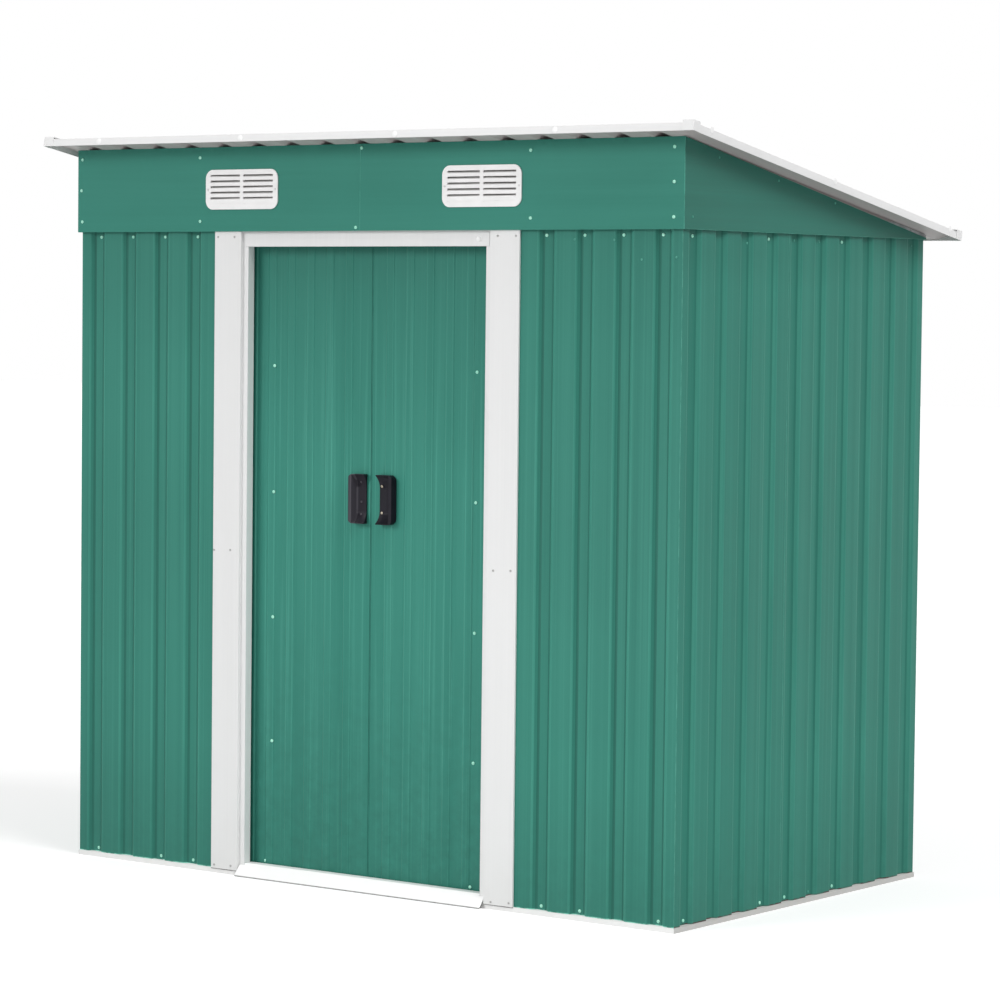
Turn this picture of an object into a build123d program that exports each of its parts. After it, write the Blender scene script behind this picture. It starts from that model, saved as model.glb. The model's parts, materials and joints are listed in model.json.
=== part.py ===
from build123d import *
import math
import os

os.makedirs("parts", exist_ok=True)

# Pent-roof metal garden shed with two sliding doors, in millimetres.
# Origin on the ground under the middle of the roof, X to the right along the front,
# Y to the back (the doors face -Y) and Z up.

# Walls
wall_width = 1810.0
wall_depth = 1061.0
sheet_t = 1.5
rib_pitch = 106.7
wall_rib_depth = 9.0
valley_mouth = 48.0
valley_floor = 28.0
side_seam_y = -87.0
wall_foot_z = 12.0
side_wall_top_z = 1578.0

# Floor frame
rail_t = 1.5
rail_lip_out = 1.0
rail_upright_h = 45.0
rail_foot_w = 38.0

# Doorway
doorway_half = 360.0
jamb_step_w = 16.5
jamb_face_w = 84.0
jamb_proud = 5.0
jamb_step_in = 8.0
jamb_return_depth = 25.0
jamb_foot_z = 10.0
wall_under_jamb = 20.0
header_end_lap = 9.5
header_h = 42.5
header_lip_depth = 21.0
sill_end_lap = 14.0
sill_top_z = 32.0
sill_hem_h = 3.0
sill_front_out = 17.5
sill_top_in = 6.5
sill_back_in = 30.0
sill_jamb_gap = 0.5
rail_end_gap = 2.0

# Top rails and fascia
top_rail_lap = 38.0
top_rail_up = 34.0
fascia_lap = 6.0
fascia_front_h = 205.0
fascia_proud = 8.3
fascia_seam_x = -6.0
gable_back_drop = 7.5

# Roof
roof_slope = 10.23
side_overhang = 68.6
front_overhang = 67.5
roof_rib_depth = 10.0
roof_rib_top = 22.0
roof_rib_foot = 44.0
roof_seam_ribs = 3
roof_edge_rise_w = 35.0
trim_h = 18.0
trim_drop = 2.0
trim_w = 20.0
trim_t = 1.5
cap_t = 1.5
cap_leg = 30.0
cap_side_leg = 24.0
cap_rise = 6.0
gable_rail_leg = 25.0
front_rail_drop = 37.0
roof_gap = 0.1
beam_w = 32.0
beam_h = 38.0
back_rail_h = 48.0
back_rail_foot = 28.0

# Vents
vent_x = 363.0
vent_left_shift = -8.8
vent_right_shift = -8.7
vent_up = 101.6
vent_w = 228.0
vent_h = 96.3
vent_t = 3.0
vent_depth = 8.0
vent_corner_r = 22.0
vent_slot_w = 94.0
vent_slot_h = 5.5
vent_slot_gap = 10.0
vent_rows = 6
vent_pitch = 13.6
vent_slant = 7.0
vent_slot_drop = 1.5
vent_blind_h = 3.0
vent_blind_depth = 1.0
vent_window_margin = 1.5
vent_window_gap = 0.3

# Doors
door_depth_in = 37.0
door_fold = 15.0
meeting_gap = 5.0
door_lap_jamb = 40.0
door_bottom_z = 22.0
door_head_gap = 5.5
door_rib_w = 25.0
door_rib_top = 19.0
door_rib_h = 2.0
door_rib_pitch = 59.6
left_first_rib = 71.0
right_first_rib = 53.5
door_ribs = 6
door_brace_in = 96.0
door_brace_w = 36.0
door_brace_h = 12.0
door_brace_foot = 10.0
lap_strip_reach = 15.0
lap_strip_foot = 18.0
lap_strip_gap = 5.5
lap_strip_end = 10.0

# Handles
handle_shift = 9.25
handle_inner = 20.8
handle_tip_lean = 3.4
handle_w = 47.4
handle_z = 936.0
handle_h = 118.0
handle_corner_r = 15.0
handle_crest_t = 16.0
handle_crest_w = 9.3
handle_slope_w = 2.7
handle_wall_w = 5.0
handle_floor_t = 2.5
handle_ramp = 30.0
handle_tip_w = 2.0
handle_shell_t = 2.5
handle_pad_in = 4.0

# Sliding gear
track_reach = 440.0
track_t = 1.5
top_track_drop = 29.0
top_track_lip_h = 12.0
track_web_h = 30.0
bottom_track_h = 16.0
runner_w = 40.0
runner_inset = 45.0
runner_gap = 0.4
runner_wall = 5.0
runner_foot_t = 5.0
runner_floor_gap = 6.0

# Derived faces
half_x = wall_width / 2
half_y = wall_depth / 2
front_y = -half_y
valley_in = wall_rib_depth + sheet_t
jamb_step_x = doorway_half + jamb_step_w
jamb_outer_x = jamb_step_x + jamb_face_w
header_half = doorway_half + header_end_lap
header_bottom_z = side_wall_top_z - header_h
sill_half = doorway_half + sill_end_lap
sill_rise = sill_top_z - sill_hem_h
fascia_bottom_z = side_wall_top_z - fascia_lap
fascia_top_front_z = fascia_bottom_z + fascia_front_h
vent_z = fascia_bottom_z + vent_up
top_track_z = side_wall_top_z - top_track_drop
track_half = doorway_half + track_reach
door_top_z = top_track_z - track_t - door_head_gap
door_y = front_y + door_depth_in
door_back_y = door_y + door_fold
door_rib_y = door_y - door_rib_h
lip_y = door_rib_y - runner_wall - runner_gap
slope = math.radians(roof_slope)
roof_half_x = half_x + side_overhang
fascia_face_y = front_y - fascia_proud
fascia_back_y = fascia_face_y + sheet_t
fascia_face_x = half_x + fascia_proud
fascia_back_x = fascia_face_x - sheet_t
roof_axis_z = fascia_top_front_z + fascia_face_y * math.tan(slope)
roof_reach = half_y + front_overhang
roof_front_s = -roof_reach / math.cos(slope)
trim_top = trim_h - trim_drop
cap_top = trim_top + cap_rise
roof_back_s = (roof_reach - cap_top * math.sin(slope)) / math.cos(slope)


def block(x, y, z):
    """Box between the pairs of limits x, y and z."""
    size = (x[1] - x[0], y[1] - y[0], z[1] - z[0])
    middle = ((x[0] + x[1]) / 2, (y[0] + y[1]) / 2, (z[0] + z[1]) / 2)
    return Pos(*middle) * Box(*size)


def along_z(points, z):
    """Outline in X and Y, run up from z[0] to z[1]."""
    outline = make_face(Polyline(*points, close=True))
    return extrude(Pos(0, 0, z[0]) * outline, z[1] - z[0], dir=(0, 0, 1))


def along_x(points, x):
    """Outline in Y and Z, run from x[0] to x[1]."""
    outline = make_face(Polyline(*[(0, y, z) for y, z in points], close=True))
    return extrude(Pos(x[0], 0, 0) * outline, x[1] - x[0], dir=(1, 0, 0))


def along_y(points, y):
    """Outline in X and Z, run back from y[0] to y[1]."""
    outline = make_face(Polyline(*[(x, 0, z) for x, z in points], close=True))
    return extrude(Pos(0, y[0], 0) * outline, y[1] - y[0], dir=(0, 1, 0))


def ribbed_line(start, end, centres, mouth, floor, depth):
    """Points (u, v) of a sheet line at v = 0 that dips to v = depth at each centre."""
    line = [(start, 0.0)]
    for c in centres:
        for u, v in ((-mouth / 2, 0.0), (-floor / 2, depth), (floor / 2, depth), (mouth / 2, 0.0)):
            if start + 0.5 < c + u < end - 0.5:
                line.append((c + u, v))
    line.append((end, 0.0))
    return line


def sheet_outline(line, thickness):
    """Closed outline of a sheet whose face follows the line and whose back is thickness deeper."""
    back = [(u, v + thickness) for u, v in reversed(line)]
    return list(line) + back


def wall_sheet(start, end, centres):
    return sheet_outline(ribbed_line(start, end, centres, valley_mouth, valley_floor, wall_rib_depth), sheet_t)


def mirror_x(part):
    return mirror(part, about=Plane.YZ)


def on_roof(part):
    """Moves a piece drawn on a level roof (Y down the slope, Z off the sheet) onto the slope."""
    return Pos(0, 0, roof_axis_z) * Rot(X=-roof_slope) * part


def roof_z(y):
    """Height of the roof sheet's underside above the point y."""
    return roof_axis_z - y * math.tan(slope)


def save(part, name):
    export_step(part, "parts/" + name + ".step")


# Positions of the valleys
long_valleys = [k * rib_pitch for k in range(-8, 9)]
side_valleys = [(k + 0.5) * rib_pitch for k in range(-5, 5)]

# Floor frame: an upright behind the sheets, a shelf that they stand on, a lip outside
# and a foot that turns in, mitred at the four corners
lip_v = -rail_lip_out - rail_t


def rail_section():
    """Section as (v, z), v running in from the outer face of the sheets."""
    up = valley_in
    section = [(lip_v, 0), (lip_v, wall_foot_z), (up, wall_foot_z), (up, rail_upright_h)]
    section += [(up + rail_t, rail_upright_h), (up + rail_t, rail_t), (up + rail_foot_w, rail_t)]
    section += [(up + rail_foot_w, 0), (up, 0), (up, wall_foot_z - rail_t)]
    section += [(lip_v + rail_t, wall_foot_z - rail_t), (lip_v + rail_t, 0)]
    return section


corner_x = half_x - lip_v
corner_y = half_y - lip_v
mitre = rail_foot_w + valley_in - lip_v


def front_corner_zone(x_in):
    """Footprint of the front rail from x_in to the right corner, mitred there."""
    return [(x_in, -corner_y), (corner_x, -corner_y), (corner_x - mitre, -corner_y + mitre),
            (x_in, -corner_y + mitre)]


front_rail_x = doorway_half + rail_end_gap
front_rail = along_x([(front_y + v, z) for v, z in rail_section()], (front_rail_x, corner_x))
front_rail = front_rail & along_z(front_corner_zone(front_rail_x), (0, rail_upright_h))
save(front_rail, "base_rail_front_right")
save(mirror_x(front_rail), "base_rail_front_left")

back_zone = [(-corner_x, corner_y), (corner_x, corner_y), (corner_x - mitre, corner_y - mitre),
             (-corner_x + mitre, corner_y - mitre)]
back_rail = along_x([(half_y - v, z) for v, z in rail_section()], (-corner_x, corner_x))
save(back_rail & along_z(back_zone, (0, rail_upright_h)), "base_rail_back")

side_zone = [(corner_x, -corner_y), (corner_x, corner_y), (corner_x - mitre, corner_y - mitre),
             (corner_x - mitre, -corner_y + mitre)]
side_rail = along_y([(half_x - v, z) for v, z in rail_section()], (-corner_y, corner_y))
side_rail = side_rail & along_z(side_zone, (0, rail_upright_h))
save(side_rail, "base_rail_right")
save(mirror_x(side_rail), "base_rail_left")

# Door sill: one folded sheet with a hem, a sloping front, a flat top and a leg behind
sill_out_y = front_y - sill_front_out
sill_edge_y = front_y + sill_top_in
sill_back_y = front_y + sill_back_in
sill_run = sill_edge_y - sill_out_y
sill_slant = math.hypot(sill_run, sill_rise)
foot_v = sheet_t * sill_slant / sill_rise
bend_v = sheet_t * (sill_slant - sill_run) / sill_rise
hem_inner_z = sill_hem_h - (foot_v - sheet_t) * sill_rise / sill_run
sill_section = [(sill_out_y, 0), (sill_out_y, sill_hem_h), (sill_edge_y, sill_top_z), (sill_back_y, sill_top_z)]
sill_section += [(sill_back_y, 0), (sill_back_y - sheet_t, 0), (sill_back_y - sheet_t, sill_top_z - sheet_t)]
sill_section += [(sill_edge_y + bend_v, sill_top_z - sheet_t), (sill_out_y + sheet_t, hem_inner_z)]
sill_section += [(sill_out_y + sheet_t, 0)]
door_sill = along_x(sill_section, (-sill_half, sill_half))
sill_clear_y = (front_y - jamb_proud + jamb_step_in - sill_jamb_gap, sill_back_y + 1)
sill_clear = block((doorway_half - 1, sill_half + 1), sill_clear_y, (-1, sill_top_z + 1))
door_sill = door_sill - sill_clear - mirror_x(sill_clear)
save(door_sill, "door_sill")

# Front walls, from under the jamb to the corner
wall_start_x = jamb_outer_x - wall_under_jamb
front_valleys = [x for x in long_valleys if x > wall_start_x]
front_line = wall_sheet(wall_start_x, half_x, front_valleys)
front_wall = along_z([(u, front_y + v) for u, v in front_line], (wall_foot_z, side_wall_top_z))
save(front_wall, "front_wall_right")
save(mirror_x(front_wall), "front_wall_left")

# Side walls, in two sheets that meet at the seam
side_ends = half_y - sheet_t
for name, start, end in (("front", -side_ends, side_seam_y), ("rear", side_seam_y, side_ends)):
    centres = [y for y in side_valleys if start < y < end]
    line = wall_sheet(start, end, centres)
    wall = along_z([(half_x - v, u) for u, v in line], (wall_foot_z, side_wall_top_z))
    save(wall, "side_wall_right_" + name)
    save(mirror_x(wall), "side_wall_left_" + name)

# Back wall, in two sheets that run up to the roof
back_top_z = roof_z(half_y) - roof_gap
back_seam_x = rib_pitch / 2
for name, start, end in (("left", -half_x, back_seam_x), ("right", back_seam_x, half_x)):
    centres = [x for x in long_valleys if start < x < end]
    line = wall_sheet(start, end, centres)
    wall = along_z([(u, half_y - v) for u, v in line], (wall_foot_z, back_top_z))
    save(wall, "back_wall_" + name)

# Top rails of the front and sides: a leg behind the sheets, a shelf over their top edge
# and a leg that carries the fascia
shelf_z = side_wall_top_z


def top_rail_section(out):
    """Section as (v, z), v running in from the sheets' outer face; the fascia's back is at -out."""
    inner = valley_in
    section = [(inner, shelf_z - top_rail_lap), (inner, shelf_z), (-out, shelf_z)]
    section += [(-out, shelf_z + top_rail_up), (-out + rail_t, shelf_z + top_rail_up)]
    section += [(-out + rail_t, shelf_z + rail_t), (inner + rail_t, shelf_z + rail_t)]
    section += [(inner + rail_t, shelf_z - top_rail_lap)]
    return section


fascia_gap = fascia_proud - sheet_t
above_roof = on_roof(block((-wall_width, wall_width), (-wall_depth, wall_depth), (0, fascia_top_front_z)))
top_rail_z = (shelf_z - top_rail_lap, shelf_z + top_rail_up)
front_top = along_x([(front_y + v, z) for v, z in top_rail_section(fascia_gap)], (-fascia_back_x, fascia_back_x))
top_mitre = fascia_gap + valley_in + rail_t
front_top_zone = [(-fascia_back_x, fascia_back_y), (fascia_back_x, fascia_back_y),
                  (fascia_back_x - top_mitre, fascia_back_y + top_mitre),
                  (-fascia_back_x + top_mitre, fascia_back_y + top_mitre)]
save(front_top & along_z(front_top_zone, top_rail_z), "top_rail_front")

back_web_y = half_y - valley_in
side_top = along_y([(half_x - v, z) for v, z in top_rail_section(fascia_gap)], (fascia_back_y, half_y))
side_top_zone = [(fascia_back_x, fascia_back_y), (fascia_back_x, half_y), (fascia_back_x - fascia_gap, half_y),
                 (fascia_back_x - fascia_gap, half_y - valley_in - rail_t),
                 (fascia_back_x - top_mitre, half_y - valley_in - rail_t),
                 (fascia_back_x - top_mitre, fascia_back_y + top_mitre)]
side_top = side_top & along_z(side_top_zone, top_rail_z)
side_top = side_top - above_roof
save(side_top, "top_rail_right")
save(mirror_x(side_top), "top_rail_left")

# Back top rail: an angle behind the back wall, up to the roof
web = (back_web_y - rail_t, back_web_y)
web_top = roof_z(back_web_y) - roof_gap
web_foot = web_top - back_rail_h
inner_x = half_x - valley_in
back_section = [(web[0], web_top), (web[1], web_top), (web[1], web_foot), (web[1] - back_rail_foot, web_foot)]
back_section += [(web[1] - back_rail_foot, web_foot + rail_t), (web[0], web_foot + rail_t)]
back_top_half = inner_x - rail_t
save(along_x(back_section, (-back_top_half, back_top_half)), "top_rail_back")

# Door jambs: a boxed face over the wall's edge, a step and a return into the doorway
jamb_face_y = front_y - jamb_proud
jamb_step_y = jamb_face_y + jamb_step_in
jamb_end_y = front_y + jamb_return_depth
jamb_section = [(jamb_outer_x, front_y), (jamb_outer_x, jamb_face_y), (jamb_step_x, jamb_face_y)]
jamb_section += [(jamb_step_x, jamb_step_y), (doorway_half, jamb_step_y), (doorway_half, jamb_end_y)]
jamb_section += [(doorway_half + sheet_t, jamb_end_y), (doorway_half + sheet_t, jamb_step_y + sheet_t)]
jamb_section += [(jamb_step_x + sheet_t, jamb_step_y + sheet_t), (jamb_step_x + sheet_t, jamb_face_y + sheet_t)]
jamb_section += [(jamb_outer_x - sheet_t, jamb_face_y + sheet_t), (jamb_outer_x - sheet_t, front_y)]
jamb = along_z(jamb_section, (jamb_foot_z, shelf_z))
notch_x = (doorway_half + rail_end_gap - 0.01, jamb_outer_x + 1)
notch_y = (front_y + valley_in, jamb_end_y + 1)
lip_room = block(notch_x, (front_y + lip_v, jamb_end_y + 1), (0, wall_foot_z))
upright_room = block(notch_x, notch_y, (wall_foot_z, rail_upright_h))
rail_room = block((doorway_half - 1, jamb_outer_x), notch_y, (shelf_z - top_rail_lap, shelf_z + 1))
jamb = jamb - lip_room - upright_room - rail_room
save(jamb, "door_jamb_right")
save(mirror_x(jamb), "door_jamb_left")

# Header: a face over the doorway with a lip turned in under it
header_back_y = jamb_step_y
header_face_y = header_back_y - sheet_t
header_lip_z = (header_bottom_z, header_bottom_z + sheet_t)
header = block((-header_half, header_half), (header_face_y, header_back_y), (header_bottom_z, shelf_z))
header += block((-doorway_half, doorway_half), (header_back_y, front_y + header_lip_depth), header_lip_z)
save(header, "door_header")

# Tracks: a hooked rail over the doors and an upright rail on the floor
top_rail_leg_y = front_y + valley_in + rail_t
track_section = [(top_rail_leg_y, top_track_z + track_web_h), (top_rail_leg_y, top_track_z - track_t)]
track_section += [(lip_y, top_track_z - track_t), (lip_y, top_track_z + top_track_lip_h)]
track_section += [(lip_y - track_t, top_track_z + top_track_lip_h), (lip_y - track_t, top_track_z)]
track_section += [(top_rail_leg_y + track_t, top_track_z), (top_rail_leg_y + track_t, top_track_z + track_web_h)]
top_track = along_x(track_section, (-track_half, track_half))
save(top_track, "top_track")

guide_y = (door_y + door_back_y) / 2
guide = (guide_y - track_t / 2, guide_y + track_t / 2)
bottom_track = block((-track_half, track_half), guide, (rail_t, bottom_track_h))
bottom_track += block((-doorway_half, doorway_half), (sill_back_y, guide[1]), (0, rail_t))
save(bottom_track, "bottom_track")

# Front fascia in two sheets with a window behind each column of louvres
slot_centres = (-(vent_slot_w + vent_slot_gap) / 2, (vent_slot_w + vent_slot_gap) / 2)
window_w = vent_slot_w + 2 * vent_window_margin


def vent_row_z(row):
    """Height of a row of slots at the plate's face, from the plate's middle."""
    return (row - (vent_rows - 1) / 2) * vent_pitch - vent_slot_drop


window_edge = vent_slot_h / 2 + vent_window_margin
window_z = (vent_row_z(0) - window_edge, vent_row_z(vent_rows - 1) + vent_slant + window_edge)


def vent_centre(side):
    return side * vent_x + (vent_right_shift if side > 0 else vent_left_shift)


fascia_z = (fascia_bottom_z, roof_z(fascia_face_y) - roof_gap)
fascia_spans = (("left", -1, (-fascia_face_x, fascia_seam_x)), ("right", 1, (fascia_seam_x, fascia_face_x)))
for name, side, span in fascia_spans:
    fascia = block(span, (fascia_face_y, fascia_back_y), fascia_z)
    window = block((-window_w / 2, window_w / 2), (-sheet_t, 2 * sheet_t), window_z)
    for offset in slot_centres:
        fascia -= Pos(vent_centre(side) + offset, fascia_face_y, vent_z) * window
    fascia -= above_roof
    save(fascia, "fascia_front_" + name)

# Gables: plain triangles over the side walls, whose top edge falls a little faster than the roof
gable_back_z = roof_z(half_y) - gable_back_drop
gable_outline = [(fascia_back_y, fascia_bottom_z), (half_y, fascia_bottom_z), (half_y, gable_back_z)]
gable_outline += [(fascia_back_y, roof_z(fascia_back_y))]
gable = along_x(gable_outline, (fascia_back_x, fascia_face_x))
save(gable, "gable_right")
save(mirror_x(gable), "gable_left")

# Rails under the roof's edge, inside the gables and the fascia
rail_front_s = fascia_back_y / math.cos(slope)
rail_back_s = (half_y - valley_in - rail_t) / math.cos(slope)
gable_rail_x = fascia_back_x - gable_rail_leg
gable_section = [(fascia_back_x, 0), (fascia_back_x, -gable_rail_leg)]
gable_section += [(fascia_back_x - rail_t, -gable_rail_leg), (fascia_back_x - rail_t, -rail_t)]
gable_section += [(gable_rail_x, -rail_t), (gable_rail_x, 0)]
gable_rail = on_roof(along_y(gable_section, (rail_front_s + gable_rail_leg + 2, rail_back_s - 1)))
gable_rail = gable_rail - block((0, wall_width), (-wall_depth, wall_depth), (0, shelf_z + top_rail_up))
save(gable_rail, "gable_rail_right")
save(mirror_x(gable_rail), "gable_rail_left")

front_leg_top = roof_z(fascia_back_y)
front_leg = block((-fascia_back_x, fascia_back_x), (fascia_back_y, fascia_back_y + rail_t),
                  (front_leg_top - front_rail_drop, front_leg_top))
front_flange_s = (rail_front_s + 0.4, rail_front_s + gable_rail_leg)
front_flange = on_roof(block((-fascia_back_x, fascia_back_x), front_flange_s, (-rail_t, 0)))
save(front_leg - above_roof + front_flange, "roof_rail_front")

# Roof beam: a channel from gable rail to gable rail
beam_side = beam_w / 2
beam_top = -rail_t
beam_foot = beam_top - beam_h
beam_section = [(-beam_side, beam_top), (beam_side, beam_top), (beam_side, beam_foot)]
beam_section += [(beam_side - rail_t, beam_foot), (beam_side - rail_t, beam_top - rail_t)]
beam_section += [(rail_t - beam_side, beam_top - rail_t), (rail_t - beam_side, beam_foot)]
beam_section += [(-beam_side, beam_foot)]
beam_half = fascia_back_x - rail_t
save(on_roof(along_x(beam_section, (-beam_half, beam_half))), "roof_beam")

# Roof sheets: pans with narrow raised ribs that run down the slope, and raised outer edges
roof_face = roof_half_x - trim_t
roof_rib_pairs = int((half_x - roof_rib_foot / 2) / rib_pitch)
roof_ribs = [k * rib_pitch for k in range(-roof_rib_pairs, roof_rib_pairs + 1)]
roof_rib = ((-roof_rib_foot / 2, 0.0), (-roof_rib_top / 2, roof_rib_depth),
            (roof_rib_top / 2, roof_rib_depth), (roof_rib_foot / 2, 0.0))
seam_x = roof_seam_ribs * rib_pitch
edge_x = half_x + roof_edge_rise_w
roof_bends = [(-edge_x, roof_rib_depth), (-half_x, 0.0)]
roof_bends += [(c + u, v) for c in roof_ribs for u, v in roof_rib]
roof_bends += [(half_x, 0.0), (edge_x, roof_rib_depth)]
roof_s = (roof_front_s + trim_t, roof_back_s - trim_t)


def roof_line(start, end):
    """Line of the pans' underside from start to end, up over each rib."""
    bends = [(u, v) for u, v in roof_bends if start < u < end]
    return [(start, roof_rib_depth)] + bends + [(end, roof_rib_depth)]


for name, start, end in (("left", -roof_face, -seam_x), ("middle", -seam_x, seam_x), ("right", seam_x, roof_face)):
    under = roof_line(start, end)
    outline = under + [(u, v + sheet_t) for u, v in reversed(under)]
    save(on_roof(along_y(outline, roof_s)), "roof_sheet_" + name)

# Edge trims: an outer face, a top and an inner leg that stands on the ribs
leg_n = roof_rib_depth + sheet_t


def trim_section(edge, inward):
    """Section as (u, n) with its face at edge and its top turned towards inward."""
    d = inward
    return [(edge, -trim_drop), (edge, trim_top), (edge + d * trim_w, trim_top), (edge + d * trim_w, leg_n),
            (edge + d * (trim_w - trim_t), leg_n), (edge + d * (trim_w - trim_t), trim_top - trim_t),
            (edge + d * trim_t, trim_top - trim_t), (edge + d * trim_t, -trim_drop)]


trim_x = (-roof_half_x, roof_half_x)
save(on_roof(along_x(trim_section(roof_front_s, 1), trim_x)), "roof_trim_front")
save(on_roof(along_x(trim_section(roof_back_s, -1), trim_x)), "roof_trim_back")
side_trim = along_y(trim_section(roof_half_x, -1), (roof_front_s + trim_w, roof_back_s - trim_w))
save(on_roof(side_trim), "roof_trim_right")
save(mirror_x(on_roof(side_trim)), "roof_trim_left")

# Corner caps over the trims' ends, a little taller than the trims
cap_x = (roof_half_x - cap_leg, roof_half_x + cap_t)


def corner_cap(edge, outward):
    """Cap at the right end of the front (outward -1) or back (outward 1) trim."""
    outer = edge + outward * cap_t
    inner = edge - outward * cap_side_leg
    shell = block(cap_x, (min(outer, inner), max(outer, inner)), (-trim_drop, cap_top))
    deep = edge - outward * (cap_side_leg + 1)
    core_z = (-trim_drop - 1, cap_top - cap_t)
    core = block((cap_x[0] - 1, roof_half_x), (min(edge, deep), max(edge, deep)), core_z)
    return on_roof(shell - core)


caps = [corner_cap(roof_front_s, -1), corner_cap(roof_back_s, 1)]
caps += [mirror_x(c) for c in caps]
save(Compound(children=caps), "roof_corner_caps")


# Vents: moulded plates with rounded corners, each with two louvre boxes that fill the fascia's
# windows. The slots rise inwards, and the lowest row is a blind groove.
def vent_plate():
    plate = extrude(RectangleRounded(vent_w, vent_h, vent_corner_r), vent_t)
    plate = Rot(X=90) * plate
    box_w = window_w - 2 * vent_window_gap
    box_z = (window_z[0] + vent_window_gap, window_z[1] - vent_window_gap)
    face = -vent_t
    back = vent_depth
    for offset in slot_centres:
        slot_x = (offset - vent_slot_w / 2, offset + vent_slot_w / 2)
        box_x = (offset - box_w / 2, offset + box_w / 2)
        plate += block(box_x, (0, back), box_z)
        low = vent_row_z(0) - vent_blind_h / 2
        plate -= block(slot_x, (face - 1, face + vent_blind_depth), (low, low + vent_blind_h))
        for row in range(1, vent_rows):
            z = vent_row_z(row)
            half_h = vent_slot_h / 2
            cut = [(back + 1, z + vent_slant - half_h), (back + 1, z + vent_slant + half_h)]
            cut += [(face - 1, z + half_h), (face - 1, z - half_h)]
            plate -= along_x(cut, slot_x)
    return plate


for name, side in (("left", -1), ("right", 1)):
    save(Pos(vent_centre(side), fascia_face_y, vent_z) * vent_plate(), "vent_" + name)

# Door leaves: ribbed sheets with folded edges
leaf_edge = meeting_gap / 2
leaf_outer = doorway_half + door_lap_jamb
door_brace_x = leaf_outer - door_brace_in


def leaf(first_rib):
    """Right-hand leaf, from the meeting edge out to behind the jamb."""
    line = [(leaf_edge, 0.0)]
    for k in range(door_ribs):
        c = first_rib + k * door_rib_pitch
        if c + door_rib_w / 2 < leaf_outer - 2:
            line += [(c - door_rib_w / 2, 0.0), (c - door_rib_top / 2, -door_rib_h)]
            line += [(c + door_rib_top / 2, -door_rib_h), (c + door_rib_w / 2, 0.0)]
    line.append((leaf_outer, 0.0))
    sheet = along_z([(u, door_y + v) for u, v in sheet_outline(line, sheet_t)], (door_bottom_z, door_top_z))
    for u in (leaf_edge, leaf_outer - sheet_t):
        sheet += block((u, u + sheet_t), (door_y, door_back_y), (door_bottom_z, door_top_z))
    for z in (door_bottom_z, door_top_z - sheet_t):
        sheet += block((leaf_edge, leaf_outer), (door_y + sheet_t, door_back_y), (z, z + sheet_t))
    return sheet


save(leaf(right_first_rib), "door_leaf_right")
save(mirror_x(leaf(left_first_rib)), "door_leaf_left")

# Upright stiffener behind each leaf, a hat section on the sheet's back
brace_y = door_y + sheet_t
brace_back = brace_y + door_brace_h
brace_half = door_brace_w / 2
crown_half = brace_half - door_brace_foot
hat = [(crown_half - sheet_t, brace_y), (brace_half, brace_y), (brace_half, brace_y + sheet_t)]
hat += [(crown_half, brace_y + sheet_t), (crown_half, brace_back), (-crown_half, brace_back)]
hat += [(-crown_half, brace_y + sheet_t), (-brace_half, brace_y + sheet_t), (-brace_half, brace_y)]
hat += [(sheet_t - crown_half, brace_y), (sheet_t - crown_half, brace_back - sheet_t)]
hat += [(crown_half - sheet_t, brace_back - sheet_t)]
brace = along_z([(door_brace_x + u, v) for u, v in hat], (door_bottom_z + sheet_t, door_top_z - sheet_t))
save(brace, "door_brace_right")
save(mirror_x(brace), "door_brace_left")

# Lap strip behind the meeting edge, carried by the left leaf
strip_y = door_back_y + lap_strip_gap
strip_z = (door_bottom_z + lap_strip_end, door_top_z - lap_strip_end)
strip = block((-leaf_edge - lap_strip_foot, lap_strip_reach), (strip_y, strip_y + sheet_t), strip_z)
strip += block((-leaf_edge - sheet_t, -leaf_edge), (door_back_y, strip_y), strip_z)
save(strip, "door_lap_strip")

# Handles: moulded pulls with a ridge along the outer side and a scoop that opens towards
# the other door. Outlines are (u, n), u from the middle of the pair and n off the door.
pull_end = handle_inner + handle_w
ridge_out = pull_end - handle_slope_w
ridge_in = ridge_out - handle_crest_w
floor_out = ridge_in - handle_wall_w
half_pull = handle_h / 2
above_pull = 2 * handle_crest_t


def pull_block(outline, half_h):
    points = [(u, door_rib_y - n) for u, n in outline]
    return along_z(points, (handle_z - half_h, handle_z + half_h))


def scoop():
    """Space over the pull's floor, which curves up to the tips at the top and bottom."""
    tip = half_pull - handle_tip_w
    flat = tip - handle_ramp
    rise = handle_crest_t - handle_floor_t
    r = (handle_ramp ** 2 + rise ** 2) / (2 * rise)
    turn = math.asin(handle_ramp / r) / 2
    bend = (flat + r * math.sin(turn), handle_floor_t + r * (1 - math.cos(turn)))
    edges = []
    for side in (-1, 1):
        points = [(side * flat, handle_floor_t), (side * bend[0], bend[1]), (side * tip, handle_crest_t)]
        edges.append(ThreePointArc(*[(0, -n, z) for z, n in points]))
        edges.append(Line((0, -handle_crest_t, side * tip), (0, -above_pull, side * tip)))
    edges.append(Line((0, -handle_floor_t, -flat), (0, -handle_floor_t, flat)))
    edges.append(Line((0, -above_pull, -tip), (0, -above_pull, tip)))
    outline = Pos(0, door_rib_y, handle_z) * make_face(edges)
    run = extrude(outline, pull_end, dir=(1, 0, 0))
    wall = pull_block([(0, 0), (floor_out, 0), (floor_out, handle_floor_t), (ridge_in, handle_crest_t),
                       (ridge_in, above_pull), (0, above_pull)], half_pull)
    return run & wall


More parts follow.
